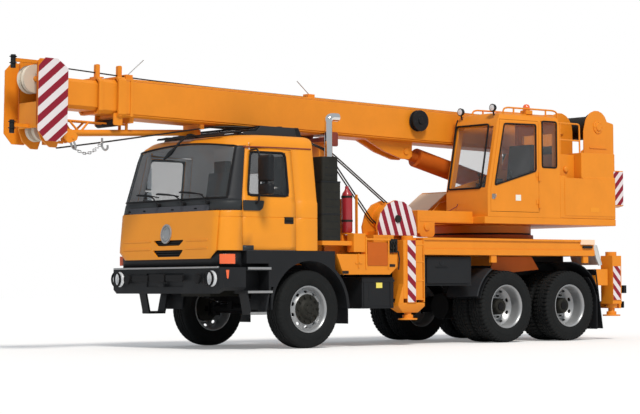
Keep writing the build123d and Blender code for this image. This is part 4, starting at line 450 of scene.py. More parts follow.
def rear_rims(name, body, x, inner, outer, side, replaces):
    """Twin rims: the outer one's dish is deep, the inner one faces the other way."""
    lip = [(-0.132, 0.311), (-0.132, 0.301), (-0.116, 0.284), (-0.090, 0.279)]
    back = [(0.118, 0.293), (-0.118, 0.293), (-0.122, 0.311)]
    disc = [(-0.080, 0.250), (-0.118, 0.214), (-0.132, 0.200), (-0.132, 0.110), (-0.120, 0.110), (-0.120, 0.196),
            (-0.104, 0.212), (-0.062, 0.254), (-0.050, 0.276), (0.080, 0.276), (0.112, 0.283), (0.130, 0.297),
            (0.136, 0.306), (0.134, 0.314), (0.127, 0.313)]
    rims = Shape()
    for y, way in ((outer, side), (inner, -side)):
        rims.lathe([(y + way * a, r) for a, r in lip + disc + back], (x, 0, HUB_Z), n=72)
    rim = rims.done(name, body, SILVER, replaces=replaces)
    cut(rim, [hand_holes(x, inner - side * 0.02, outer + side * 0.02, 8, 0.232, 0.015, 0.032)])
    hub = Shape()
    hub.lathe([(outer + side * a, r) for a, r in
               [(-0.250, 0.001), (-0.250, 0.150), (-0.122, 0.150), (-0.122, 0.122), (-0.020, 0.116), (0.000, 0.104),
                (0.012, 0.098), (0.012, 0.060), (0.004, 0.054), (0.004, 0.001)]], (x, 0, HUB_Z))
    hub.bolts((x, outer, HUB_Z), "y", 0.160, 10, 0.016, -side * 0.124, -side * 0.082)
    hub.bolts((x, outer, HUB_Z), "y", 0.082, 8, 0.007, side * 0.008, side * 0.018)
    hub.done(name + "_hub", body, DARK, "rim_silver", bevel=0.002)


def make_wheels():
    for word, side in SIDES:
        body = f"front_wheel_{word}"
        y = side * 1.060
        tyre(f"tyre_front_{word}_tread", body, AXLE, y, False, (f"tyre_front_{word}",))
        front_rim(f"rim_front_{word}_wheel", body, AXLE, y, side, (f"rim_front_{word}",))
        for n, x in enumerate(REAR_AXLES, 1):
            body = f"twin_wheels_{n}_{word}"
            node = f"twin_tyres_{n}_{word}"
            outer = side * 1.083
            inner = side * 0.745
            tyre(node + "_outer", body, x, outer, True, (node,))
            tyre(node + "_inner", body, x, inner, True)
            rear_rims(f"twin_rims_{n}_{word}_wheels", body, x, inner, outer, side, (f"twin_rims_{n}_{word}",))


make_wheels()


# ---------------------------------------------------------------- truck cab
CAB_FRONT = AXLE + 1.49
CAB_REAR = AXLE - 0.165
CAB_HALF = 1.225
BELT = 1.95
SCREEN_TOP = 2.68
ROOF = 2.835


def rise(s):
    """Inset of a quarter round at share s of its height."""
    s = min(1.0, max(0.0, s))
    return 1 - math.sqrt(1 - s * s)


def cab_half(z):
    lean = 0.095 * min(1.0, max(0.0, (z - BELT) / 0.745))
    groove = 0.006 if abs(z - 1.735) < 0.004 else 0.0
    step = 0.012 * min(1.0, max(0.0, (z - 1.938) / 0.022))
    return CAB_HALF - lean - groove - step - 0.115 * rise((z - 2.700) / 0.135)


def cab_front(z):
    nose = 0.10 * min(0.63, max(0.0, z - 1.32)) + 0.335 * min(0.73, max(0.0, z - BELT))
    return CAB_FRONT - nose - 0.30 * rise((z - SCREEN_TOP) / 0.155)


def door_front(z):
    return AXLE + 1.130 - 0.118 * max(0.0, z - BELT) / 0.69


def corner_radius(z):
    """Radius of the front corner in plan: it stays in front of the door, and widens over the door's top."""
    wide = 0.235 + 0.125 * min(1.0, max(0.0, (z - 1.80) / 0.16))
    narrow = min(wide, cab_front(z) - door_front(z) - 0.012)
    share = min(1.0, max(0.0, (z - 2.66) / 0.10))
    return narrow + (wide - narrow) * share


def cab_ring(z, offset=0.0):
    """Named points round the cab at a height, from the rear's middle forward along the left side: (name, x, y)."""
    half = cab_half(z) + offset
    front = cab_front(z) + offset
    rear = CAB_REAR + 0.09 * rise((z - 2.775) / 0.060) - offset
    corner = corner_radius(z)
    gap = 0.004
    out = [("", rear, 0.0), ("back", rear, 0.60), ("", rear, half - 0.06), ("", rear + 0.018, half - 0.018),
           ("", rear + 0.06, half), ("", AXLE + 0.05, half), ("door0", AXLE + 0.235 - gap, half),
           ("door1", AXLE + 0.235 + gap, half), ("pane0", AXLE + 0.345, half), ("notch", AXLE + 0.949, half),
           ("pane1", door_front(z) - 0.085, half), ("door2", door_front(z) - gap, half),
           ("door3", door_front(z) + gap, half)]
    last = len(out)
    out = [(name, min(x, front - corner - 0.003 * (last - k)), y) for k, (name, x, y) in enumerate(out)]
    names = {48: "split", 27: "seam"}
    for angle in (90, 79, 68, 58, 48, 38, 27, 18, 9, 0):
        t = math.radians(angle)
        out.append((names.get(angle, ""), front - corner + corner * math.cos(t), half - corner + corner * math.sin(t)))
    wide = half - corner
    for k in range(1, 9):
        out.append(("", front, wide * (1 - k / 8)))
    return out


# heights of the skin's rows, with the names of those where a part ends
CAB_ROWS = [("sill", 1.300), ("door_low", 1.306), ("notch", 1.366), ("", 1.55), ("", 1.728), ("", 1.735), ("", 1.742),
            ("", 1.800), ("band0", 1.820), ("", 1.936), ("band1", 1.955), ("screen0", 1.985), ("pane0", 2.020),
            ("", 2.20), ("", 2.40), ("pane1", 2.600), ("", 2.618), ("door_top", 2.636), ("top", 2.644),
            ("screen1", 2.675), ("", 2.69), ("", 2.72), ("", 2.75), ("", 2.775), ("", 2.795), ("", 2.812),
            ("", 2.824), ("", 2.8315), ("", ROOF)]


def arch(z, y):
    """How far a row rises towards the middle of the front, so that the windscreen's top is arched."""
    share = min(1.0, max(0.0, (z - 2.02) / 0.60)) * min(1.0, max(0.0, (2.80 - z) / 0.125))
    return 0.07 * share * max(0.0, 1 - (y / 1.03) ** 2)


def cab_point(z, k, side, offset=0.0):
    _, x, y = cab_ring(z, offset)[k]
    if k < FRONT_COLUMN:
        return Vector((x, side * y, z))
    high = z + arch(z, y)
    _, x, y = cab_ring(high, offset)[k]
    return Vector((x, side * y, high))


FRONT_COLUMN = [n for n, _, _ in cab_ring(1.5)].index("door3") + 1


def cab_cells():
    """Every cell of the cab's skin as (part, side, four corners)."""
    names = [n for n, _, _ in cab_ring(1.5)]
    col = {n: k for k, n in enumerate(names) if n}
    row = {n: k for k, (n, _) in enumerate(CAB_ROWS) if n}
    heights = [z for _, z in CAB_ROWS]
    for side in (1, -1):
        for r in range(len(heights) - 1):
            a = [cab_point(heights[r], k, side) for k in range(len(names))]
            b = [cab_point(heights[r + 1], k, side) for k in range(len(names))]
            for k in range(len(names) - 1):
                part = "body"
                in_door = row["door_low"] <= r < row["door_top"] and col["door1"] <= k < col["door2"]
                in_gap = r < row["top"] and col["door0"] <= k < col["door3"]
                if in_gap:
                    part = "gap"
                if in_door:
                    part = "door"
                    if row["pane0"] <= r < row["pane1"] and col["pane0"] <= k < col["pane1"]:
                        part = "door_pane"
                if in_door and r < row["notch"] and k >= col["notch"]:
                    part = "band"
                if k >= col["door3"] and row["band0"] <= r < row["screen1"]:
                    part = "band" if r < row["band1"] else "pillar"
                    if k >= col["split"] and r >= row["screen0"]:
                        part = "screen"
                if k >= col["seam"] and r < row["band0"]:
                    part = "panel"
                if k < col["back"] and row["pane0"] <= r < row["pane1"] - 1:
                    part = "rear_pane"
                corners = [a[k], a[k + 1], b[k + 1], b[k]]
                yield part, side, corners if side < 0 else corners[::-1]
        cap = [cab_point(ROOF, k, side) for k in range(len(names))]
        for k in range(len(names) - 1):
            mids = [Vector((p.x, 0, ROOF + 0.012 * min(1.0, (p.x - CAB_REAR) / 0.4))) for p in (cap[k + 1], cap[k])]
            corners = [cap[k], cap[k + 1], *mids]
            yield "body", side, corners if side < 0 else corners[::-1]


def sheet(cells, name, body, mat, thick=0.028, replaces=()):
    """Object of sheet metal or glass from skin cells, thickened inwards. A second material lines it."""
    bm = bmesh.new()
    for corners in cells:
        bm.faces.new([bm.verts.new(p) for p in corners])
    bmesh.ops.remove_doubles(bm, verts=bm.verts, dist=1e-5)
    mesh = bpy.data.meshes.new(name)
    bm.to_mesh(mesh)
    bm.free()
    obj = present(mesh, name, body, mat, replaces=replaces, angle=28)
    solid = obj.modifiers.new("thick", "SOLIDIFY")
    solid.thickness = thick
    solid.offset = -1
    if isinstance(mat, list):
        solid.material_offset = 1
    return obj


def skin_at(x, z, side, offset=0.0):
    """Point on the cab's flat side."""
    return Vector((x, side * (cab_half(z) + offset), z))


def panel_cells():
    """The plate on the cab's nose, a little proud of it, with its lower corners cut off."""
    names = [n for n, _, _ in cab_ring(1.5)]
    first = names.index("seam")
    heights = [z for _, z in CAB_ROWS if z < 1.825]
    for side in (1, -1):
        rows = [[cab_point(z, k, side, 0.007) for k in range(first, len(names))] for z in heights]
        lowest = [Vector((p.x, p.y * 0.97 / 1.10, 1.195)) for p in rows[0]]
        rows = [lowest] + rows
        for a, b in zip(rows, rows[1:]):
            for k in range(len(a) - 1):
                corners = [a[k], a[k + 1], b[k + 1], b[k]]
                yield corners if side < 0 else corners[::-1]


def trapezoid(y0, y1, top, low, inset):
    """Outline in (y, z) of a slot in the nose, narrower below."""
    return fillet([(y0, top), (y0 + 0.01, top - 0.02), (y0 + inset, low), (y1 - inset, low), (y1 - 0.01, top - 0.02),
                   (y1, top)], 0.012)


SLOTS = (trapezoid(-0.27, 0.40, 1.450, 1.375, 0.085), trapezoid(-0.275, 0.405, 1.318, 1.228, 0.085))


def make_nose():
    # the nose plate is lined inside with the glowing lining: painted light
    panel = sheet(panel_cells(), "nose_panel", "carrier", [CAB_PAINT, GLOWING_LINING], 0.026, ("grille_panel",))
    cut(panel, [loose(Shape().prism("x", outline, CAB_FRONT - 0.12, CAB_FRONT + 0.08)) for outline in SLOTS])
    backs = Shape()
    ribs = Shape()
    for outline in SLOTS:
        middle = (outline[0].y + outline[-1].y) / 2
        x = cab_front(middle)
        backs.box(x - 0.050, x - 0.030, -0.32, 0.45, middle - 0.14, middle + 0.03)
        for k in (0.3, 0.65):
            z = middle - 0.085 * k
            ribs.box(x - 0.030, x - 0.012, -0.24, 0.37, z - 0.006, z + 0.006)
    # near-black backs behind the slots: painted shade
    backs.done("nose_slot_backs", "carrier", SHADE_BLACK)
    ribs.done("nose_slot_ribs", "carrier", BLACK, bevel=0.002)
    creases = Shape()
    for z in (1.440, 1.335):
        for y0, y1 in ((-0.98, -0.34), (0.47, 0.94)):
            x = cab_front(z) + 0.005
            creases.rounded("x", y0, y1, z - 0.011, z + 0.011, x, x + 0.008, 0.010)
    creases.done("nose_creases", "carrier", CAB_PAINT, bevel=0.004, angle=20)
    make_emblem()


def make_emblem():
    """Plain disc of two raised rings, leaning with the nose."""
    x, y, z = cab_front(1.535) + 0.006, 0.01, 1.535
    lean, tall = 0.113, 1.13

    def circle(depth, r):
        return [Vector((x + depth - lean * r * math.sin(t), y + r * math.cos(t), z + tall * r * math.sin(t)))
                for t in (math.tau * k / 40 for k in range(40))]

    disc = Shape()
    back = -0.004
    for outer, inner, top in ((0.115, 0.098, 0.022), (0.080, 0.066, 0.016)):
        section = ((back, outer), (top - 0.004, outer), (top, outer - 0.005), (top, inner + 0.005),
                   (top - 0.004, inner), (back, inner))
        disc.skin([circle(depth, r) for depth, r in section], closed=True)
    disc.skin([circle(back, 0.105), circle(0.006, 0.104)])
    disc.done("nose_disc", "carrier", SILVER, "crane_orange", angle=30)


def make_cab():
    groups = {}
    for part, side, corners in cab_cells():
        if part in ("gap", "panel"):
            continue
        key = (part, side) if part in ("door", "door_pane") else part
        groups.setdefault(key, []).append(corners)
    # the shell, pillars and doors are lined inside with the glowing lining: painted light
    sheet(groups["body"], "cab_shell", "carrier", [CAB_PAINT, GLOWING_LINING], replaces=("truck_cab",))
    sheet(groups["pillar"], "cab_pillars", "carrier", [GREY, GLOWING_LINING], 0.03)
    sheet(groups["band"], "cab_band", "carrier", BAND, 0.03)
    sheet(groups["screen"], "windscreen", "carrier", CAB_GLASS, 0.006, ("cab_glass",))
    sheet(groups["rear_pane"], "cab_rear_window", "carrier", CAB_GLASS, 0.006)
    for word, side in SIDES:
        sheet(groups[("door", side)], f"door_{word}_panel", f"door_{word}", [CAB_PAINT, GLOWING_LINING], 0.03,
              (f"door_{word}",))
        sheet(groups[("door_pane", side)], f"door_{word}_window", f"door_{word}", CAB_GLASS, 0.006,
              (f"door_glass_{word}",))
    make_nose()


make_cab()
# ---------------------------------------------------------------- cab details
BAR_TOP, BAR_LOW = 1.252, 1.124        # of the indicators round the corners
MIRROR_X, MIRROR_Y = 2.320, 1.310      # of the stem that carries the mirrors
LAMP_Z = 0.935
NAMES = [n for n, _, _ in cab_ring(1.5)]


def side_plate(shape, outline, side, low, high):
    """Plate that follows the cab's side: an outline in (x, z), between two distances out from the skin."""
    shape.skin([[skin_at(x, z, side, value) for x, z in outline] for value in (low, high)])


def skirt_cells():
    """Cells of a strip under the cab's front, from one door round to the other."""
    columns = cab_ring(1.30, -0.028)
    for side in (1, -1):
        for k in range(NAMES.index("door3"), len(NAMES) - 1):
            corners = [Vector((columns[k + step][1], side * columns[k + step][2], z))
                       for step, z in ((0, 1.085), (1, 1.085), (1, 1.300), (0, 1.300))]
            yield corners if side < 0 else corners[::-1]


def make_windscreen_seal():
    split = NAMES.index("split")
    proud = 0.002
    top = [cab_point(2.675, k, 1, proud) for k in range(split, len(NAMES))]
    low = [cab_point(1.985, k, 1, proud) for k in range(split, len(NAMES))]
    edge = [cab_point(z, split, 1, proud) for z in (2.10, 2.25, 2.40, 2.55)]
    left = low[::-1] + edge + top
    right = [Vector((p.x, -p.y, p.z)) for p in top[-2::-1] + edge[::-1] + low[:-1]]
    seal = Shape()
    seal.sweep(left + right, 0.013, n=8, closed=True)
    seal.done("windscreen_seal", "carrier", SEAL)


def make_door_trim(word, side):
    body = f"door_{word}"
    rear = AXLE + 0.345                # edges of the side window
    low, top = 2.02, 2.60
    front_low, front_top = door_front(low) - 0.085, door_front(top) - 0.085
    inset = 0.004
    pane = [(rear + inset, low + inset), (front_low - inset, low + inset), (front_top - inset, top - inset),
            (rear + inset, top - inset)]
    rubber = Shape()
    rubber.sweep([skin_at(p.x, p.y, side) for p in fillet(pane, 0.07)], 0.017, n=8, closed=True)
    rubber.done(f"door_{word}_rubber", body, SEAL)
    fill = Shape()
    for x, z, dx, dz in ((rear, low, 1, 1), (rear, top, 1, -1), (front_low, low, -1, 1), (front_top, top, -1, -1)):
        side_plate(fill, [(x, z), (x + dx * 0.045, z), (x + dx * 0.012, z + dz * 0.012), (x, z + dz * 0.045)],
                   side, -0.012, 0.004)
    fill.done(f"door_{word}_corners", body, SEAL)
    base = Shape()
    side_plate(base, fillet([(2.526, 1.955), (2.175, 1.955), (2.205, 1.850), (2.250, 1.820), (2.526, 1.820)], 0.02),
               side, -0.004, 0.016)
    base.done(f"door_{word}_band", body, BAND, bevel=0.006)
    # the handle's recess as a flat near-black plate: painted shade
    cup = Shape()
    outline = fillet([(1.680, 1.655), (1.835, 1.655), (1.835, 1.745), (1.680, 1.745)], 0.012)
    side_plate(cup, outline, side, -0.002, 0.004)
    cup.done(f"door_{word}_handle_cup", body, SHADE_BLACK)
    grip = Shape()
    outline = fillet([(1.690, 1.700), (1.825, 1.700), (1.825, 1.742), (1.690, 1.742)], 0.010)
    side_plate(grip, outline, side, 0.003, 0.020)
    grip.done(f"door_{word}_handle", body, DARK, "black_plastic", bevel=0.004)
    # gutter in dark red-brown, which paints in the shade under the gutter
    gutter = Shape()
    gutter.sweep([skin_at(x, z, side, 0.006) for x, z in ((CAB_REAR + 0.06, 2.668), (1.8, 2.668), (2.30, 2.664),
                                                          (2.44, 2.655))], 0.009, n=6)
    gutter.done(f"cab_gutter_{word}", "carrier", DARK_RED_BROWN)


def make_mirrors(word, side):
    """Two mirrors on arms from the door. The right ones are folded back."""
    body = f"door_{word}"
    x = MIRROR_X
    y = side * MIRROR_Y
    arms = Shape()
    for root, bend, radius in (((x, side * 1.185, 1.905), [(x - 0.01, side * 1.285, 1.93), (x, y, 2.02)], 0.014),
                               ((x, side * 1.130, 2.620), [(x, side * 1.27, 2.628), (x, y, 2.56)], 0.012)):
        arms.sweep(fillet([root, *bend, (x, y, 2.20)], 0.04, closed=False), radius)
    arms.sweep([(x, side * 1.455, 2.13), (x, side * 1.455, 2.22)], 0.018)
    arms.done(f"mirror_{word}_arms", body, BLACK)
    shells = Shape()
    panes = Shape()
    for z0, z1, out in ((2.192, 2.540, 0.265), (2.022, 2.165, 0.270)):
        ya, yb = sorted((y + side * 0.008, y + side * out))
        outline = fillet([(ya, z0), (yb, z0), (yb, z1), (ya, z1)], 0.035)
        middle = Vector(((ya + yb) / 2, (z0 + z1) / 2))
        for shape, rings in ((shells, ((-0.040, 0.96), (-0.034, 1.0), (0.010, 1.0), (0.034, 0.93), (0.045, 0.80))),
                             (panes, ((-0.0405, 0.90), (-0.043, 0.90)))):
            shape.skin([[lift("x", x + dx, middle + (p - middle) * gain) for p in outline] for dx, gain in rings])
    if side < 0:
        stem = Matrix.Translation((x, y, 0))
        turn = stem @ Matrix.Rotation(math.radians(-50), 4, "Z") @ stem.inverted()
        for shape in (shells, panes):
            bmesh.ops.transform(shape.bm, matrix=turn, verts=shape.bm.verts)
    shells.done(f"mirror_{word}_housings", body, BLACK, angle=50)
    panes.done(f"mirror_{word}_panes", body, MIRROR)


def make_indicator(word, side):
    """Lens round the cab's lower corner."""
    first = NAMES.index("door3") + 1
    columns = [(x, y) for _, x, y in cab_ring(1.30, 0.006)][first:first + 6]
    lens = Shape()
    lens.skin([[Vector((x - deep, side * (y - deep), z))
                for deep, z in ((0, BAR_LOW), (0, BAR_TOP), (0.05, BAR_TOP), (0.05, BAR_LOW))] for x, y in columns])
    lens.done(f"indicator_{word}", "carrier", AMBER, bevel=0.004)


def make_wipers():
    wipers = Shape()
    for y, tip in ((-0.205, (2.842, -0.717, 2.076)), (0.369, (2.842, -0.262, 2.076)), (0.967, (2.840, 0.266, 2.082))):
        root = Vector((cab_front(1.925) + 0.012, min(y, 0.90), 1.925))
        tip = Vector(tip)
        wipers.cyl(root - Vector((0.03, 0, 0)), root + Vector((0.035, 0, 0)), 0.024, n=12)
        knee = Vector((cab_front(2.03) + 0.030, y + (tip.y - y) * 0.35, 2.045))
        arm = [root + Vector((0.02, 0, 0)), knee, tip + Vector((0.010, 0, 0))]
        wipers.sweep(fillet(arm, 0.06, closed=False), 0.010, n=6)
        blade = ((-0.05, tip.z + 0.012), (0.20, tip.z - 0.006), (0.46, tip.z - 0.045))
        wipers.sweep([Vector((cab_front(z) + 0.014, tip.y + d, z)) for d, z in blade], 0.008, n=6)
    x = cab_front(1.87)
    for y in (-0.9, -0.55, 0.1, 0.62):         # small blocks on the band
        wipers.box(x - 0.01, x + 0.010, y - 0.03, y + 0.03, 1.845, 1.865)
    wipers.done("wipers", "carrier", SEAL, bevel=0.001)


def make_ramp_mirror():
    ramp = Shape()
    arm = [(2.45, 0.14, 2.84), (2.58, 0.12, 2.88), (2.70, 0.06, 2.76), (2.76, 0.03, 2.68)]
    ramp.sweep(fillet(arm, 0.05, closed=False), 0.016)
    ramp.sweep([(2.74, 0.05, 2.71), (2.77, -0.05, 2.62), (2.785, -0.17, 2.545)], [0.014, 0.032, 0.014])
    ramp.done("ramp_mirror", "carrier", BLACK)


def make_bumper():
    """The CAD form with a light upper edge, caps, lamp rims and reflectors on its wings."""
    dress("front_bumper", BLACK, bevel=0.010)
    edge = Shape()
    edge.rounded("y", 2.895, 2.925, 1.068, 1.092, -1.18, 1.20, 0.008)
    edge.done("bumper_edge", "carrier", STEEL, "dark_metal", bevel=0.003)
    mark = fillet([(2.775, 1.045), (2.825, 1.045), (2.812, 0.945), (2.798, 0.925), (2.786, 0.945)], 0.008)
    for word, side in SIDES:
        marker = Shape()
        marker.prism("y", mark, side * 1.245, side * 1.256)
        marker.done(f"wing_marker_{word}", "carrier", AMBER, bevel=0.002)
    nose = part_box("front_bumper")[1].x
    caps = Shape()
    for y in (0.80, -0.80):
        caps.lathe([(-0.03, 0.001), (-0.03, 0.07), (0.004, 0.07), (0.010, 0.060), (0.010, 0.001)],
                   (nose - 0.004, y, LAMP_Z), axis="x", n=32)
    for y0, y1, z0, z1 in ((-0.66, -0.30, 0.905, 0.985), (0.12, 0.50, 0.905, 0.985), (-0.26, 0.08, 0.895, 1.000)):
        caps.rounded("x", y0, y1, z0, z1, nose - 0.03, nose + 0.004, 0.015)
    caps.done("bumper_caps", "carrier", SEAL, bevel=0.003)
    dress("head_lamps", LAMP)
    rims = Shape()
    for side in (1, -1):
        rims.lathe([(-0.02, 0.094), (-0.02, 0.104), (0.010, 0.102), (0.014, 0.097), (0.008, 0.091)],
                   (nose, side * 1.055, LAMP_Z), axis="x", n=40)
    rims.done("lamp_rims", "carrier", SEAL)


def make_step_edges():
    treads = Shape()
    for side in (1, -1):
        y = side * 1.224
        for x0, x1, z in ((2.066, 2.452, 1.066), (2.043, 2.454, 0.758), (2.146, 2.407, 0.480)):
            treads.rounded("x", y - 0.014, y + 0.014, z - 0.016, z + 0.016, x0, x1, 0.004)
    treads.done("step_edges", "carrier", STEEL, bevel=0.002)


def make_cab_details():
    sheet(skirt_cells(), "cab_skirt", "carrier", BLACK, 0.03)
    make_windscreen_seal()
    for word, side in SIDES:
        make_door_trim(word, side)
        make_mirrors(word, side)
        make_indicator(word, side)
    make_wipers()
    make_ramp_mirror()
    make_bumper()
    make_step_edges()


make_cab_details()


# ---------------------------------------------------------------- carrier behind the cab
RACK_HALF = 0.86
HATCH_Y = 1.200
BOX_Y = 1.2455                 # face of the front outrigger box
BOTTLE = (0.565, 1.015)
STACK = (0.92, 1.05)
STACK_TOP = 3.128
DECK_TOP = 1.500
# end: X from and to, top, angle and period of a leg's stripes, how much further forward the right leg stands
LEG_SIGNS = {"front": (-0.480, -0.330, 1.460, 41, 0.150, 0.50), "rear": (-4.700, -4.535, 1.110, 45, 0.125, 0.29)}
SIGN_LOW = 0.600


def flank(shape, side, x0, x1, z0, z1, near, far, radius=0.0):
    """Rectangle in X and Z on a side, between two distances from the middle plane."""
    if radius:
        shape.rounded("y", x0, x1, z0, z1, *span(side, near, far), radius)
    else:
        shape.box(x0, x1, *span(side, near, far), z0, z1)


def make_roof_rack():
    dress("roof_rack", GREY, bevel=0.006)
    rack = Shape()
    for y in (-RACK_HALF, RACK_HALF):
        outline = fillet([(2.300, 2.832), (1.960, 2.966), (1.30, 2.966), (1.240, 2.836)], 0.03)
        rack.prism("y", outline, y - 0.014, y + 0.014)
    for x, z in ((2.10, 2.912), (1.95, 2.962), (1.62, 2.966), (1.34, 2.960)):
        rack.rounded("y", x - 0.035, x + 0.035, z - 0.014, z + 0.010, -RACK_HALF - 0.02, RACK_HALF + 0.02, 0.010)
    for side in (1, -1):
        horn = [(2.16, side * 0.70, 2.885), (2.34, side * 0.74, 2.878), (2.52, side * 0.70, 2.845)]
        rack.sweep(horn, [0.020, 0.016, 0.010], n=8)
    rack.rounded("y", 2.44, 2.50, 2.842, 2.866, -0.72, 0.72, 0.008)
    rack.done("roof_rack_plates", "carrier", BLACK, bevel=0.004)


def make_boxes():
    dress("mudguards", BLACK, bevel=0.006)
    dress("side_boxes", BLACK, bevel=0.010)
    make_roof_rack()
    # battery box: lid, tray, door, straps and a plain label
    box = Shape()
    box.rounded("y", -0.130, 0.462, 0.880, 0.918, 1.000, 1.206, 0.012)
    box.box(-0.10, 0.50, 0.98, 1.215, 0.520, 0.540)
    box.rounded("y", 0.02, 0.34, 0.62, 0.86, 1.200, 1.203, 0.02)
    for x in (-0.06, 0.42):
        box.box(x - 0.012, x + 0.012, 0.96, 1.208, 0.55, 0.93)
    box.done("battery_box_trim", "carrier", BLACK, bevel=0.003)
    tag = Shape()
    tag.box(0.10, 0.21, 1.206, 1.209, 0.800, 0.873)
    tag.done("battery_label", "carrier", YELLOW)
    # storage boxes under the deck: hatch, grip, foot, and a round lock on the left
    hatch = Shape()
    for side in (1, -1):
        flank(hatch, side, -1.56, -0.74, 0.86, 1.215, HATCH_Y, HATCH_Y + 0.006, 0.03)
        if side > 0:
            hatch.lathe([(0.0, 0.001), (0.0, 0.040), (0.010, 0.040), (0.014, 0.030), (0.014, 0.001)],
                        (-1.02, HATCH_Y, 1.15), n=24)
        flank(hatch, side, -1.14, -0.90, 1.085, 1.093, HATCH_Y, HATCH_Y + 0.018)
        flank(hatch, side, -1.60, -0.70, 0.828, 0.842, HATCH_Y, HATCH_Y + 0.012)
    hatch.done("storage_hatch", "carrier", BLACK, bevel=0.003)
    air = Shape()
    for x in (0.02, 0.30):
        air.cyl((x - 0.10, -0.9, 0.62), (x + 0.10, -0.9, 0.62), 0.085)
    air.done("air_tanks", "carrier", CHASSIS, bevel=0.02)


def make_front_box():
    """Covers, ribs and valves on the box of the front beams."""
    for side in (1, -1):
        # covers in the shaded copy of the crane paint: painted shade
        cover = Shape()
        flank(cover, side, 0.035, 0.400, 1.105, 1.425, BOX_Y, BOX_Y + 0.008, 0.010)
        cover.done(f"front_box_cover_{side + 1}", "carrier", SHADED_PAINT, bevel=0.003)
        ribs = Shape()
        for x0, x1, z0, z1, proud in ((0.413, 0.437, 1.06, 1.50, 0.010), (0.003, 0.027, 1.06, 1.50, 0.010),
                                      (-0.02, 0.44, 1.455, 1.480, 0.012), (0.50, 0.62, 1.13, 1.15, 0.010),
                                      (0.55, 0.57, 1.07, 1.27, 0.010)):
            flank(ribs, side, x0, x1, z0, z1, BOX_Y, BOX_Y + proud)
        ribs.done(f"front_box_ribs_{side + 1}", "carrier", PAINT, bevel=0.003)
        # flat near-black plates in place of the recesses' shadow: painted shade
        dark = Shape()
        for x0, x1, z0, z1, radius in ((-0.150, 0.008, 1.285, 1.475, 0.012), (-0.105, 0.008, 1.090, 1.128, 0.008),
                                       (0.740, 0.850, 0.995, 1.035, 0.008)):
            flank(dark, side, x0, x1, z0, z1, BOX_Y, BOX_Y + 0.004, radius)
        dark.done(f"valve_recess_{side + 1}", "carrier", SHADE_BLACK)
        valves = Shape()
        y = side * BOX_Y
        for z in (1.43, 1.35):
            for x in (-0.12, -0.07, -0.02):
                valves.cyl((x, y, z), (x, y + side * 0.028, z), 0.014, n=10)
        for x in (-0.095, -0.045):
            flank(valves, side, x - 0.006, x + 0.006, 1.30, 1.40, BOX_Y, BOX_Y + 0.040)
        valves.sweep([(-0.155, y + side * 0.010, 1.31), (-0.175, y + side * 0.014, 1.20),
                      (-0.16, y + side * 0.012, 1.05)], 0.010, n=8)
        valves.done(f"valve_levers_{side + 1}", "carrier", DARK, bevel=0.002)


def make_bottle():
    """The red bottle on its plate and post, with straps."""
    plate = Shape()
    plate.box(0.425, 0.640, 1.100, 1.245, 1.290, 1.545)
    plate.box(0.472, 0.488, 1.09, 1.14, 1.54, 2.08)
    plate.done("bottle_plate", "carrier", PAINT, bevel=0.006)
    straps = Shape()
    for z in (1.72, 2.05):
        straps.lathe([(-0.014, 0.0755), (-0.014, 0.079), (0.014, 0.079), (0.014, 0.0755)], (*BOTTLE, z), axis="z", n=40)
    straps.done("bottle_straps", "carrier", DARK)
    bottle = Shape()
    bottle.lathe([(0.0, 0.001), (0.0, 0.060), (0.02, 0.0745), (0.50, 0.0745), (0.545, 0.062), (0.580, 0.036),
                  (0.600, 0.026), (0.640, 0.026), (0.640, 0.001)], (*BOTTLE, 1.555), axis="z")
    bottle.done("red_bottle_body", "carrier", RED, replaces=("red_bottle",), angle=40)


def make_exhaust():
    """Slotted shield in two steps, with the bent pipe out of its top."""
    shield = Shape()
    shield.rounded("z", 0.817, 1.158, 0.902, 1.198, 1.441, 2.235, 0.05)
    shield.rounded("z", 0.847, 1.128, 0.922, 1.178, 2.240, 2.578, 0.05)
    shield.done("exhaust_shield", "carrier", DARK, bevel=0.006, replaces=("exhaust",))
    bands = Shape()
    for z in (1.80, 2.236):
        bands.rounded("z", 0.813, 1.162, 0.898, 1.202, z - 0.010, z + 0.010, 0.05)
    for z in (1.50, 1.60, 1.70, 1.90, 2.00, 2.10, 2.33, 2.43):
        face = 1.2005 if z < 2.2 else 1.1805
        for x in (0.90, 0.98, 1.06):
            bands.rounded("y", x - 0.026, x + 0.026, z - 0.006, z + 0.006, face - 0.0105, face, 0.004)
    bands.done("exhaust_bands", "carrier", BLACK, "dark_metal", bevel=0.002)
    x, y = STACK
    stack = Shape()
    way = fillet([(x, y, 2.56), (x, y, STACK_TOP), (0.752, y, STACK_TOP)], 0.13, steps=10, closed=False)
    stack.sweep(way, 0.055, n=28)
    stack.done("exhaust_stack", "carrier", CHROME, angle=50)
    # near-black disc in the pipe's mouth: painted shade
    mouth = Shape()
    mouth.cyl((0.7515, y, STACK_TOP), (0.7505, y, STACK_TOP), 0.047, n=28)
    mouth.done("exhaust_mouth", "carrier", SHADE_BLACK, "dark_metal")


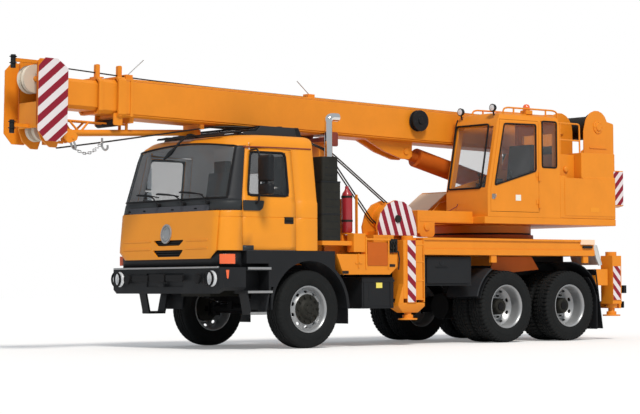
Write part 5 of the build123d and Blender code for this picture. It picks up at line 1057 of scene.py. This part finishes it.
def make_deck():
    """The deck's edges, plate and slots, and the belt round the slewing ring."""
    dress("deck", PAINT, bevel=0.006)
    dress("slew_ring", DARK, bevel=0.004)
    lips, ends, slots, wings = Shape(), Shape(), Shape(), Shape()
    for side in (1, -1):
        flank(lips, side, -4.128, -0.640, 1.262, 1.342, 1.248, 1.262, 0.006)
        flank(lips, side, -4.128, -0.640, 1.470, 1.503, 1.248, 1.262, 0.006)
        for x in (-2.02, -3.95):
            flank(lips, side, x - 0.055, x + 0.055, 1.155, 1.262, 1.20, 1.246)
        flank(ends, side, -4.131, -3.83, 1.430, 1.506, 1.20, 1.2635)
        flank(slots, side, -4.08, -3.88, 1.375, 1.412, 1.24, 1.2655)
        wings.prism("y", [(-2.30, 1.25), (-3.10, 1.25), (-3.25, 1.06), (-2.72, 1.02), (-2.25, 1.06)],
                    *span(side, 0.93, 0.945))
    lips.done("deck_lips", "carrier", PAINT, bevel=0.004)
    ends.done("deck_end_caps", "carrier", CREAM, bevel=0.004)
    # the slots are near-black painted shade, and the inner wings take the shaded paint: painted shade
    slots.done("deck_slots", "carrier", SHADE_BLACK)
    wings.done("inner_wings", "carrier", SHADED_PAINT, bevel=0.004)
    # deck plate in the shaded paint: painted shade under the superstructure
    walk = Shape()
    walk.box(-4.10, -0.66, -1.20, 1.20, DECK_TOP + 0.0005, DECK_TOP + 0.0035)
    walk.done("deck_plate", "carrier", SHADED_PAINT)
    # belt round the slewing ring in the shaded paint: painted shade under the body
    belt = Shape()
    belt.lathe([(0.0, 0.772), (0.0, 0.800), (0.060, 0.800), (0.060, 0.772)], (RING_X, 0, DECK_TOP + 0.020),
               axis="z", n=96)
    belt.done("ring_belt", "carrier", SHADED_PAINT, bevel=0.004)


def arc_band(x, start, sweep, outer, inner, shift=(0.0, 0.0)):
    """Outline of a curved strip over a wheel: angles in degrees from straight ahead over the top, and two radii."""
    turns = [math.radians(start + sweep * k / 8) for k in range(9)]
    far = [(x + outer * math.cos(t), HUB_Z + outer * math.sin(t)) for t in turns]
    near = [(x + inner * math.cos(t) + shift[0], HUB_Z + inner * math.sin(t) + shift[1]) for t in turns[::-1]]
    return far + near


def make_rear():
    """Fenders, guards, lamps and flaps round the rear wheels."""
    fenders, guards, strips = Shape(), Shape(), Shape()
    sheet_line = [(-4.225, 1.425), (-4.262, 1.33), (-4.290, 1.24), (-4.335, 1.130)]
    for side in (1, -1):
        fenders.prism("y", [(-4.145, 1.440), *sheet_line, (-4.275, 1.120), (-4.215, 1.22), (-4.170, 1.33)],
                      *span(side, 1.19, 1.215))
        fenders.prism("y", sheet_line + [(x + 0.010, z) for x, z in sheet_line[::-1]], *span(side, 0.62, 1.22))
        flank(guards, side, -4.15, -2.95, 0.98, 1.26, 0.575, 0.590)
        guards.prism("y", arc_band(REAR_AXLES[1], 84, 74, 0.655, 0.655, (0.004, -0.016)), *span(side, 0.60, 1.225))
        strips.prism("y", arc_band(REAR_AXLES[0], 14, 46, 0.640, 0.615), *span(side, 0.60, 1.235))
    fenders.done("rear_fender_sheets", "carrier", LIGHT_SHEET, angle=50)
    guards.done("rear_guards", "carrier", BLACK, angle=50)
    strips.done("rear_mudguard_strips", "carrier", GREY, angle=50)
    bar = Shape()
    bar.box(-4.90, -4.865, -1.15, 1.15, 0.475, 0.575)
    for y in (-0.55, 0.55):
        bar.box(-4.87, -4.20, y - 0.04, y + 0.04, 0.50, 0.56)
        bar.box(-4.30, -4.20, y - 0.04, y + 0.04, 0.50, 0.95)
    bar.done("under_run_bar", "carrier", CHASSIS, bevel=0.006)
    lamps, lenses, flaps = Shape(), Shape(), Shape()
    for side in (1, -1):
        flank(lamps, side, -4.900, -4.840, 0.70, 0.82, 0.92, 1.20)
        flank(lamps, side, -4.86, -4.78, 0.55, 0.72, 1.04, 1.08)
        flank(lenses, side, -4.906, -4.899, 0.71, 0.81, 0.93, 1.19)
        flaps.prism("y", [(-4.190, 1.06), (-4.330, 0.17), (-4.342, 0.17), (-4.202, 1.06)], *span(side, 0.62, 1.22))
    lamps.done("rear_lamp_boxes", "carrier", BLACK, bevel=0.006)
    lenses.done("rear_lamp_lenses", "carrier", RED_LENS, bevel=0.002)
    flaps.done("rear_flaps", "carrier", BLACK)


def leg_ribs(body, side, shift):
    """Ribs, flare and tapered foot of a front leg."""
    ribs = Shape()
    for z in (0.64, 0.90, 1.16, 1.40):
        flank(ribs, side, -0.640 + shift, -0.490 + shift, z - 0.010, z + 0.010, FLANK - 0.16, FLANK + 0.004)
    flank(ribs, side, -0.640 + shift, -0.540 + shift, 0.60, 1.50, FLANK - 0.16, FLANK - 0.145)
    flank(ribs, side, -0.655 + shift, -0.635 + shift, 0.60, 1.50, FLANK - 0.10, FLANK + 0.004)
    flare = [(-0.262 + shift, 0.86), (-0.190 + shift, 0.66), (-0.175 + shift, 0.58), (-0.262 + shift, 0.58)]
    ribs.prism("y", flare, *span(side, FLANK - 0.10, FLANK - 0.005))
    rings = []
    for x0, x1, z, inset in ((-0.665, -0.170, 0.594, 0), (-0.665, -0.170, 0.545, 0), (-0.580, -0.300, 0.455, 0.05)):
        near, far = side * (FLANK - 0.24 + inset), side * (FLANK - 0.01 - inset)
        rings.append([Vector((x + shift, y, z)) for x, y in ((x0, near), (x1, near), (x1, far), (x0, far))])
    ribs.skin(rings)
    ribs.done(f"{body}_ribs", body, PAINT, bevel=0.004)


def make_outriggers():
    for end, (x0, x1, top, degrees, period, forward) in LEG_SIGNS.items():
        for word, side in SIDES:
            body = f"outrigger_{end}_{word}"
            shift = forward if side < 0 else 0.0
            dress(body, PAINT, bevel=0.006)
            dress(f"jack_{end}_{word}", PAINT, bevel=0.006)
            plate = Shape()
            flank(plate, side, x0 - 0.008 + shift, x1 + 0.008 + shift, SIGN_LOW - 0.008, top + 0.008, FLANK - 0.002,
                  FLANK + 0.008, 0.006)
            plate.done(f"{body}_plate", body, PAINT, bevel=0.002)
            outline = [(x1 + shift, SIGN_LOW), (x1 + shift, top), (x0 + shift, top), (x0 + shift, SIGN_LOW)]
            stripes(f"{body}_stripes", body, "crane_orange", side, FLANK + 0.008, outline, degrees, period)
            if end == "front":
                leg_ribs(body, side, shift)


def make_carrier():
    make_boxes()
    make_front_box()
    make_bottle()
    make_exhaust()
    make_deck()
    make_rear()
    make_outriggers()
    dress("hook_block", PAINT, bevel=0.008)


make_carrier()


# ---------------------------------------------------------------- superstructure
RAIL = 0.013                   # radius of the handrails
CAB_SIDE = 1.250               # outer face of the crane cab


def path_at(y, points):
    return [Vector((x, y, z)) for x, z in points]


def make_hook_stripes():
    """Bands and pin on the stowed hook block's left cheek."""
    cheek = [(-0.650, 1.532), (0.070, 1.532), (0.090, 1.650), (0.030, 1.830), (-0.090, 1.960), (-0.250, 2.018),
             (-0.410, 1.998), (-0.540, 1.920), (-0.620, 1.770)]
    stripes("hook_block_stripes", "carrier", "hook_white", 1, 1.101, cheek, 71, 0.139, shift=0.2)
    pin = Shape()
    pin.lathe([(0.0, 0.001), (0.0, 0.055), (0.020, 0.050), (0.024, 0.001)], (-0.29, 1.104, 1.76), n=24)
    pin.done("hook_block_pin", "carrier", DARK)


def make_cab_seals():
    """Rubbers round the crane cab's panes, and its front corner."""
    seal = Shape()
    pane = fillet([(-2.895, 2.505), (-2.045, 2.275), (-2.245, 3.175), (-2.895, 3.185)], 0.04)
    seal.sweep(path_at(CAB_SIDE + 0.002, pane), 0.012, n=8, closed=True)
    seal.done("crane_door_seal", "crane_door", SEAL)
    seal = Shape()
    pane = fillet([(-3.330, 2.565), (-3.025, 2.565), (-3.025, 3.245), (-3.330, 3.245)], 0.04)
    seal.sweep(path_at(CAB_SIDE + 0.002, pane), 0.012, n=8, closed=True)
    screen = [(-1.898, 0.43, 2.235), (-1.898, 1.105, 2.235), (-2.075, 1.105, 3.165), (-2.075, 0.43, 3.165)]
    seal.sweep(fillet(screen, 0.04), 0.014, n=8, closed=True)
    seal.sweep([(-1.902, 0.41, 2.20), (-2.00, 0.41, 2.70), (-2.09, 0.405, 3.20), (-2.12, 0.41, 3.27)], 0.010, n=8)
    seal.done("crane_cab_seals", "superstructure", SEAL)


def make_cab_roof():
    """Rails on and behind the crane cab, beacon and work lamps."""
    rails = Shape()
    hoop = [(-2.330, 3.34), (-2.345, 3.405), (-2.42, 3.425), (-3.38, 3.425), (-3.46, 3.40), (-3.47, 3.28)]
    for y in (1.14, 0.50):
        rails.sweep(fillet(path_at(y, hoop), 0.05, closed=False), RAIL)
        for x in (-2.55, -3.22):
            rails.sweep(path_at(y, [(x, 3.335), (x, 3.425)]), RAIL, n=8)
    y = 1.16
    rails.sweep(fillet(path_at(y, [(-3.402, 3.245), (-3.92, 3.245), (-3.93, 2.80)]), 0.05, closed=False), RAIL)
    rails.sweep(path_at(y, [(-3.402, 2.995), (-3.925, 2.995)]), RAIL, n=8)
    rails.sweep(path_at(y, [(-3.50, 2.78), (-3.50, 3.245)]), RAIL, n=8)
    rails.done("crane_cab_rails", "superstructure", PAINT)
    base = Shape()
    base.rounded("z", -2.935, -2.800, 1.02, 1.16, 3.345, 3.405, 0.02)
    base.done("beacon_base", "superstructure", PAINT, bevel=0.004)
    dome = Shape()
    dome.lathe([(0.0, 0.001), (0.0, 0.055), (0.055, 0.052), (0.085, 0.036), (0.095, 0.001)], (-2.868, 1.09, 3.405),
               axis="z", n=32)
    dome.done("beacon_dome", "superstructure", AMBER, angle=50)
    for n, (x, y, z) in enumerate(((-2.13, 0.47, 3.385), (-2.13, 1.14, 3.405))):
        lamp = Shape()
        lamp.lathe([(-0.050, 0.001), (-0.045, 0.030), (-0.020, 0.052), (0.022, 0.058), (0.028, 0.052), (0.022, 0.048),
                    (0.020, 0.001)], (x, y, z), axis="x", n=28)
        lamp.cyl((x, y, z - 0.05), (x - 0.02, y, z - 0.11), 0.012, n=8)
        lamp.done(f"work_lamp_{n}", "superstructure", BLACK, angle=50)
        lens = Shape()
        lens.lathe([(0.018, 0.001), (0.018, 0.047), (0.026, 0.044), (0.030, 0.001)], (x, y, z), axis="x", n=28)
        lens.done(f"work_lamp_lens_{n}", "superstructure", LAMP, angle=50)


def make_crane_cab():
    dress("crane_cab", PAINT, bevel=0.010)
    dress("crane_door", PAINT, bevel=0.006)
    for node in ("crane_cab_glass", "crane_door_glass"):
        dress(node, GLASS, bevel=0.0)
    dress("crane_seat", SEAT, bevel=0.02)
    make_cab_seals()
    make_cab_roof()
    label = Shape()
    label.box(-2.575, -2.468, 1.2505, 1.2525, 2.060, 2.146)
    label.done("crane_door_label", "crane_door", LABEL)
    grip = Shape()
    grip.rounded("y", -2.045, -1.985, 2.075, 2.150, CAB_SIDE, 1.256, 0.012)
    loop = [(-2.03, 1.256, 2.09), (-2.03, 1.285, 2.10), (-2.03, 1.285, 2.14), (-2.03, 1.256, 2.145)]
    grip.sweep(fillet(loop, 0.01, closed=False), 0.007, n=8)
    grip.done("crane_door_handle", "crane_door", STEEL, bevel=0.002)
    # console in front, arm rests with levers at both sides of the seat
    inside = Shape()
    inside.rounded("z", -2.34, -2.06, 0.62, 1.02, 1.90, 2.26, 0.05)
    inside.cyl((-2.18, 0.82, 2.20), (-2.28, 0.82, 2.42), 0.022, n=12)
    for y in (0.50, 1.16):
        inside.rounded("z", -2.98, -2.42, y - 0.05, y + 0.05, 2.20, 2.34, 0.04)
        inside.cyl((-2.48, y, 2.30), (-2.46, y, 2.46), 0.012, n=8)
        inside.lathe([(-0.025, 0.001), (-0.02, 0.02), (0.0, 0.027), (0.02, 0.02), (0.025, 0.001)], (-2.458, y, 2.475),
                     axis="z", n=16)
    inside.done("crane_cab_consoles", "superstructure", BLACK, bevel=0.006)


def make_housings():
    """Skins and trim of the turret, the hoods and the counterweight."""
    dress("turret", PAINT, bevel=0.008)
    dress("machine_housings", PAINT, bevel=0.014)
    dress("counterweight", PAINT, bevel=0.012)
    slope = Shape()
    slope.prism("y", [(-2.340, 1.875), (-2.868, 2.252), (-2.868, 2.256), (-2.336, 1.880)], -1.235, -0.640)
    slope.done("hood_front", "superstructure", CREAM, bevel=0.001)
    # louvres drawn as thin near-black bars, not cut: painted shade
    vents = Shape()
    for k in range(8):
        z = 1.92 + 0.032 * k
        vents.box(-3.90, -3.20, -1.256, -1.246, z, z + 0.014)
        vents.box(-4.624, -4.615, -1.05, -0.68, z, z + 0.014)
    vents.done("hood_louvres", "superstructure", SHADE_BLACK)
    plates = Shape()
    plates.rounded("y", -4.600, -3.500, 1.860, 2.425, 1.249, 1.256, 0.02)
    plates.rounded("y", -1.86, -0.80, 1.735, 1.800, 0.999, 1.004, 0.01)
    plates.done("tail_plates", "superstructure", PAINT, bevel=0.003)
    lockers = Shape()
    lockers.rounded("z", -4.590, -3.875, 0.93, 1.246, 2.430, 2.812, 0.015)
    lockers.rounded("z", -3.873, -3.470, 0.78, 1.10, 2.270, 2.785, 0.012)
    lockers.lathe([(0.0, 0.001), (0.0, 0.050), (0.02, 0.046), (0.028, 0.030), (0.028, 0.001)], (-3.68, 1.10, 2.56),
                  n=28)
    lockers.done("tail_lockers", "superstructure", PAINT, bevel=0.006)
    # recess in the shaded paint: painted shade
    recess = Shape()
    recess.box(-3.860, -3.485, 1.080, 1.108, 2.290, 2.420)
    recess.done("tail_recess", "superstructure", SHADED_PAINT, bevel=0.003)
    bare = Shape()
    bare.box(-4.24, -4.05, 1.2565, 1.2585, 1.925, 1.990)
    bare.done("tail_plate_bare", "superstructure", CAB_PAINT)
    outline = [(-4.630, 2.045), (-4.845, 2.045), (-4.845, 2.555), (-4.630, 2.555)]
    for word, side in SIDES:
        stripes(f"counterweight_stripes_{word}", "superstructure", "crane_orange", side, 1.2005, outline, 135, 0.125)


def make_winch():
    """Cheek plates with bosses, the drum under its rope, and the hydraulic units in front of it."""
    cheek = fillet([(-5.270, 2.850), (-5.270, 3.345), (-5.105, 3.375), (-4.995, 3.490), (-4.860, 3.530),
                    (-4.725, 3.490), (-4.640, 3.390), (-4.585, 3.200), (-4.585, 2.850)], 0.03)
    boss = Shape()
    for side in (1, -1):
        centre = WINCH + Vector((0, side * 0.632, 0))
        boss.lathe([(side * a, r) for a, r in ((0.0, 0.001), (0.0, 0.105), (0.012, 0.100), (0.016, 0.060),
                                               (0.030, 0.055), (0.030, 0.001))], centre, n=32)
        boss.bolts(centre, "y", 0.082, 8, 0.008, side * 0.010, side * 0.022)
        flank(boss, side, -5.10, -4.72, 2.945, 2.965, 0.632, 0.644)
        boss.prism("y", cheek, *span(side, 0.6205, 0.6315))
    boss.done("winch_bosses", "superstructure", PAINT, bevel=0.003)
    core, flange, half, turns = 0.171, 0.225, 0.515, 40
    profile = [(-0.540, 0.06), (-0.540, flange), (-0.520, flange), (-0.520, 0.170)]
    for k in range(turns):
        y = half * (2 * (k + 0.5) / turns - 1)
        profile += [(y - 0.0085, core), (y - 0.004, core + 0.010), (y + 0.004, core + 0.010), (y + 0.0085, core)]
    profile += [(0.520, 0.170), (0.520, flange), (0.540, flange), (0.540, 0.06)]
    drum = Shape()
    drum.lathe(profile, WINCH)
    drum.done("winch_rope_layers", "winch_drum", DRUM, replaces=("winch_drum",), angle=60)
    shaft = Shape()
    shaft.cyl(WINCH - Vector((0, 0.610, 0)), WINCH + Vector((0, 0.610, 0)), 0.049)
    shaft.done("winch_shaft", "winch_drum", STEEL, "drum_dark")
    motor = Shape()
    motor.rounded("y", -4.35, -4.05, 2.85, 3.10, -0.60, -0.30, 0.05)
    motor.cyl((-3.95, 0.30, 2.88), (-3.95, 0.62, 2.88), 0.075)
    motor.box(-4.02, -3.88, 0.30, 0.62, 2.40, 2.82)
    motor.box(-4.36, -4.04, -0.60, -0.30, 2.40, 2.86)
    motor.done("hydraulic_units", "superstructure", DARK, bevel=0.006)


def make_platform():
    hose = Shape()
    way = [(-1.92, 0.60, 2.02), (-1.80, 0.72, 1.98), (-1.55, 0.80, 1.90), (-1.45, 0.80, 1.885)]
    hose.sweep(fillet(way, 0.10, steps=8, closed=False), 0.008, n=8)
    hose.done("platform_hose", "superstructure", DARK_RED_BROWN, "black_plastic")
    lug = Shape()
    lug.lathe([(0.0, 0.001), (0.0, 0.055), (0.018, 0.050), (0.022, 0.001)], (-0.93, 1.0, 1.66), n=28)
    lug.rounded("y", -1.085, -0.800, 1.518, 1.72, 0.90, 1.001, 0.06)
    lug.done("front_lug_boss", "superstructure", PAINT, bevel=0.003)


# ---------------------------------------------------------------- boom, drawn as if it lay level
HOOK_Y = 0.205                 # of the small hook and its chain
BOOM_SIDE = 0.249
HEAD_PIN_X = 5.250
REEL = (-1.435, 0.262, 3.165)


def chain_link(shape, x, z, upright):
    """Oval link, upright or lying."""
    half, thick = 0.024, 0.013
    turns = ((-half, -thick), (half, -thick), (half, thick), (-half, thick))
    ring = [(x + a, HOOK_Y, z + b) if upright else (x + a, HOOK_Y + b, z) for a, b in turns]
    shape.sweep(fillet(ring, 0.012), 0.0055, n=6, closed=True)


def make_small_hook():
    """The small hook hangs from the boom's head by a shackle and a chain."""
    bracket = Shape()
    outline = fillet([(4.640, 2.640), (4.640, 2.520), (4.560, 2.455), (4.440, 2.500), (4.420, 2.560), (4.520, 2.640)],
                     0.02)
    for y in (0.150, 0.245):
        bracket.prism("y", outline, y, y + 0.014)
    bracket.cyl((4.500, 0.140, 2.530), (4.500, 0.270, 2.530), 0.020, n=14)
    bracket.done("hook_bracket", "boom_tip", PAINT, bevel=0.003, tilt=True)
    shackle = Shape()
    bow = [(4.500, 0.165, 2.530), (4.440, 0.165, 2.400), (4.440, 0.245, 2.400), (4.500, 0.245, 2.530)]
    shackle.sweep(fillet(bow, 0.03, closed=False), 0.014)
    shackle.done("small_shackle", "boom_tip", STEEL, tilt=True)
    chain = Shape()
    links = 12
    for k in range(links):
        t = k / (links - 1)
        chain_link(chain, 4.440 - 0.42 * t, 2.400 + 0.10 * (t - math.sin(math.pi * t)), k % 2 == 0)
    hook = path_at(HOOK_Y, [(4.020, 2.560), (4.020, 2.440), (3.975, 2.400), (3.930, 2.430), (3.935, 2.475)])
    chain.sweep(fillet(hook, 0.03, closed=False), 0.014)
    chain.done("small_chain", "boom_tip", STEEL, tilt=True)


def make_boom_fittings():
    """Plates, rods, end roller and cable reel on the boom's base section."""
    tops = Shape()
    for x, height in ((3.985, 0.18), (3.640, 0.19)):
        tops.rounded("y", x - 0.030, x + 0.030, 3.360, 3.360 + height, -0.03, 0.03, 0.02)
        tops.box(x - 0.060, x + 0.060, -0.08, 0.08, 3.355, 3.372)
    tops.box(3.450, 3.560, -0.05, 0.05, 3.360, 3.440)
    tops.box(0.34, 0.46, -0.06, 0.06, 3.360, 3.430)
    for side in (1, -1):
        for x in (3.60, 3.78):
            flank(tops, side, x - 0.022, x + 0.022, 2.86, 3.36, BOOM_SIDE, BOOM_SIDE + 0.013, 0.01)
        for z in (3.340, 2.872):
            flank(tops, side, -4.0, 3.80, z, z + 0.012, BOOM_SIDE, BOOM_SIDE + 0.009)
    tops.done("boom_fittings", "boom_base", PAINT, bevel=0.004, tilt=True)
    rods = Shape()
    rods.sweep([(3.50, 0, 3.44), (3.25, 0, 3.66)], 0.006, n=6)
    rods.sweep([(0.40, 0, 3.43), (0.62, 0, 3.60)], 0.006, n=6)
    rods.done("boom_rods", "boom_base", STEEL, tilt=True)
    roller = Shape()
    roller.cyl((3.815, -0.20, 2.775), (3.815, 0.20, 2.775), 0.050)
    roller.done("boom_roller", "boom_base", SEAL, tilt=True)
    holder = Shape()
    for y in (-0.215, 0.215):
        holder.rounded("y", 3.72, 3.86, 2.74, 2.90, y - 0.010, y + 0.010, 0.03)
    holder.done("boom_roller_plates", "boom_base", PAINT, bevel=0.003, tilt=True)
    reel = Shape()
    reel.lathe([(0.0, 0.03), (0.0, 0.150), (0.012, 0.155), (0.018, 0.150), (0.018, 0.115), (0.072, 0.115),
                (0.072, 0.150), (0.078, 0.155), (0.090, 0.150), (0.090, 0.03)], REEL)
    reel.lathe([(0.085, 0.001), (0.085, 0.055), (0.105, 0.048), (0.105, 0.001)], REEL, n=28)
    reel.done("cable_reel", "boom_base", BLACK, tilt=True)
    coil = Shape()
    coil.lathe([(0.020, 0.116), (0.020, 0.138), (0.070, 0.138), (0.070, 0.116)], REEL, n=40)
    coil.done("cable_reel_coil", "boom_base", RUBBER, "black_plastic", tilt=True)


def make_boom():
    """Skins of the sections, cylinder and jib, the head's signs and pins, and the saddle over the truck."""
    for node in ("boom_base", "boom_mid", "boom_tip"):
        dress(node, PAINT, bevel=0.006)
    dress("head_sheaves", BEIGE, bevel=0.004)
    # the lift cylinder's barrel in the shaded copy of the crane paint: painted shade
    dress("lift_barrel", SHADED_PAINT, bevel=0.008)
    dress("lift_rod", CHROME, bevel=0.003)
    dress("jib", PAINT, bevel=0.004)
    sign = [(4.685, 3.390), (4.845, 3.500), (5.025, 3.500), (5.125, 3.390), (5.125, 2.580), (5.005, 2.450),
            (4.825, 2.450), (4.685, 2.580)]
    for word, side in SIDES:
        stripes(f"head_stripes_{word}", "boom_tip", "crane_orange", side, 0.4085, sign, 139, 0.165, tilt=True)
    hose = Shape()
    hose.sweep(path_at(0, [(4.470, 3.010), (4.000, 2.985), (3.700, 2.985)]), 0.014, n=8)
    hose.done("jib_hose", "boom_base", BLACK, tilt=True)
    make_small_hook()
    make_boom_fittings()
    pins = Shape()
    for z in (3.488, 2.660):
        for low, high, radius in ((-0.105, 0.065, 0.0335), (0.035, 0.045, 0.050), (-0.045, -0.035, 0.050)):
            pins.cyl((HEAD_PIN_X, 0, z + low), (HEAD_PIN_X, 0, z + high), radius, n=16)
    pins.done("head_pins", "boom_tip", BLACK, bevel=0.003, tilt=True)
    lips = Shape()
    saddle = Shape()
    saddle.box(0.12, 0.32, -0.285, 0.285, 2.868, 2.926)
    for side in (1, -1):
        flank(lips, side, 5.018, 5.026, 2.66, 3.46, 0.205, 0.225)
        flank(saddle, side, 0.10, 0.34, 2.80, 3.00, 0.262, 0.290, 0.03)
    # the head's lips in the shaded paint: painted shade
    lips.done("head_lips", "boom_tip", SHADED_PAINT, bevel=0.002, tilt=True)
    saddle.done("boom_saddle", "carrier", DARK_RED_BROWN, bevel=0.006)


def make_superstructure():
    make_hook_stripes()
    make_crane_cab()
    make_housings()
    make_winch()
    make_platform()
    make_boom()


make_superstructure()


# ---------------------------------------------------------------- ropes
def rope(name, body, points, radius, corner):
    """Steel rope along a path, with its corners rounded."""
    path = fillet(points, corner, steps=6, closed=False)
    shape = Shape()
    shape.sweep(path, radius)
    obj = shape.done(name, body, ROPE)


def make_ropes():
    # along the boom's top, from its foot to the head's upper sheave
    top = path_at(0, [(-3.2, 3.385), (2.0, 3.388), (3.2, 3.400), (4.70, 3.452)])
    rope("rope_over_boom", "boom_tip", [BOOM_TURN @ p for p in top], 0.009, 0.25)
    # two falls from the head over the cab's roof to the hook block, and two more from behind the exhaust
    over_roof = ((4.62, 0.03, 2.615), (3.858, 0.05, 2.727), (2.741, 0.09, 2.905), (2.20, 0.16, 2.990),
                 (1.45, 0.45, 2.995), (0.86, 0.80, 2.72), (0.70, 0.80, 2.66), (-0.31, 0.80, 1.995))
    behind = ((0.80, 0.80, 2.71), (0.59, 0.80, 2.45), (-0.02, 0.80, 1.76), (-0.105, 0.80, 1.70))
    falls = [(way, y) for way in (over_roof, behind) for y in (0.0, 0.055)]
    for n, (way, apart) in enumerate(falls):
        rope(f"hook_rope_{n}", "carrier", [(x, y + apart, z) for x, y, z in way], 0.010, 0.15)


make_ropes()


# ---------------------------------------------------------------- the other nodes, in their own form
def make_rest():
    for node in ("chassis_frame", "axles_and_springs", "knuckle_left", "knuckle_right"):
        dress(node, CHASSIS)
    dress("engine", DARK)
    dress("cab_interior", SEAT)


make_rest()
# ---------------------------------------------------------------- light, floor and camera
FLOOR_SHADE = 0.82
FLOOR_GLOW = 0.17              # to the camera only
FLOOR_HALF = 120
AMBIENT = ((0.86, 0.93, 1.0, 1), 0.50)
SUN_STRENGTH = 2.62
SUN_COLOUR = (1.0, 0.95, 0.88)
SUN_SPREAD = 14                # degrees, as the two below
SUN_AZIMUTH = 66
SUN_HEIGHT = 48
LENS, SENSOR = 115.75, 36      # millimetres
CAMERA_PLACE = (18.8785, 22.4160, 0.8197)
CAMERA_TURN = (-129.804, 2.2227, -0.2994)        # degrees of yaw, pitch and roll


def toward(azimuth, height):
    """Unit vector at an azimuth and a height in radians."""
    return Vector((math.cos(height) * math.cos(azimuth), math.cos(height) * math.sin(azimuth), math.sin(height)))


def add_node(tree, kind, **inputs):
    node = tree.nodes.new(kind)
    for name, value in inputs.items():
        node.inputs[name].default_value = value
    return node


def floor_material():
    """Pale ground that takes shadow, and is lifted to the camera alone."""
    m = bpy.data.materials.new("floor")
    m.use_nodes = True
    tree = m.node_tree
    base = tree.nodes["Principled BSDF"]
    base.inputs["Base Color"].default_value = (FLOOR_SHADE, FLOOR_SHADE, FLOOR_SHADE, 1)
    base.inputs["Roughness"].default_value = 0.9
    base.inputs["Specular IOR Level"].default_value = 0.1
    rays = add_node(tree, "ShaderNodeLightPath")
    share = add_node(tree, "ShaderNodeMath")
    share.operation = "MULTIPLY"
    share.inputs[1].default_value = FLOOR_GLOW
    glow = add_node(tree, "ShaderNodeEmission")
    both = add_node(tree, "ShaderNodeAddShader")
    for source, target in ((rays.outputs["Is Camera Ray"], share.inputs[0]),
                           (share.outputs[0], glow.inputs["Strength"]), (base.outputs[0], both.inputs[0]),
                           (glow.outputs[0], both.inputs[1]),
                           (both.outputs[0], tree.nodes["Material Output"].inputs["Surface"])):
        tree.links.new(source, target)
    return m


def make_world():
    """White to the camera and through glass, a pale blue light to everything else."""
    world = bpy.data.worlds.new("sky")
    bpy.context.scene.world = world
    world.use_nodes = True
    tree = world.node_tree
    tree.nodes.clear()
    out = add_node(tree, "ShaderNodeOutputWorld")
    rays = add_node(tree, "ShaderNodeLightPath")
    ambient = add_node(tree, "ShaderNodeBackground", Color=AMBIENT[0], Strength=AMBIENT[1])
    white = add_node(tree, "ShaderNodeBackground", Color=(1, 1, 1, 1), Strength=1.0)
    clear = add_node(tree, "ShaderNodeMath")
    clear.operation = "MAXIMUM"
    pick = add_node(tree, "ShaderNodeMixShader")
    for source, target in ((rays.outputs["Is Camera Ray"], clear.inputs[0]),
                           (rays.outputs["Is Transmission Ray"], clear.inputs[1]),
                           (clear.outputs[0], pick.inputs["Fac"]), (ambient.outputs[0], pick.inputs[1]),
                           (white.outputs[0], pick.inputs[2]), (pick.outputs[0], out.inputs["Surface"])):
        tree.links.new(source, target)


def make_floor():
    mesh = bpy.data.meshes.new("floor")
    a = FLOOR_HALF
    mesh.from_pydata([(-a, -a, 0), (a, -a, 0), (a, a, 0), (-a, a, 0)], [], [(0, 1, 2, 3)])
    mesh.materials.append(floor_material())
    floor = bpy.data.objects.new("floor", mesh)
    bpy.context.scene.collection.objects.link(floor)


def make_sun():
    sun = bpy.data.lights.new("sun", "SUN")
    sun.energy = SUN_STRENGTH
    sun.color = SUN_COLOUR
    sun.angle = math.radians(SUN_SPREAD)
    lamp = bpy.data.objects.new("sun", sun)
    beam = -toward(math.radians(SUN_AZIMUTH), math.radians(SUN_HEIGHT))
    lamp.rotation_euler = beam.to_track_quat("-Z", "Y").to_euler()
    bpy.context.scene.collection.objects.link(lamp)


def make_camera():
    view = bpy.data.cameras.new("camera")
    view.lens = LENS
    view.sensor_width = SENSOR
    view.clip_end = 400
    yaw, pitch, roll = (math.radians(a) for a in CAMERA_TURN)
    ahead = toward(yaw, pitch)
    right = ahead.cross(Vector((0, 0, 1))).normalized()
    up = right.cross(ahead)
    right, up = right * math.cos(roll) + up * math.sin(roll), up * math.cos(roll) - right * math.sin(roll)
    camera = bpy.data.objects.new("camera", view)
    camera.matrix_world = Matrix.Translation(CAMERA_PLACE) @ Matrix((right, up, -ahead)).transposed().to_4x4()
    bpy.context.scene.collection.objects.link(camera)
    bpy.context.scene.camera = camera


bpy.context.scene.view_settings.view_transform = "Standard"
make_world()
make_floor()
make_sun()
make_camera()
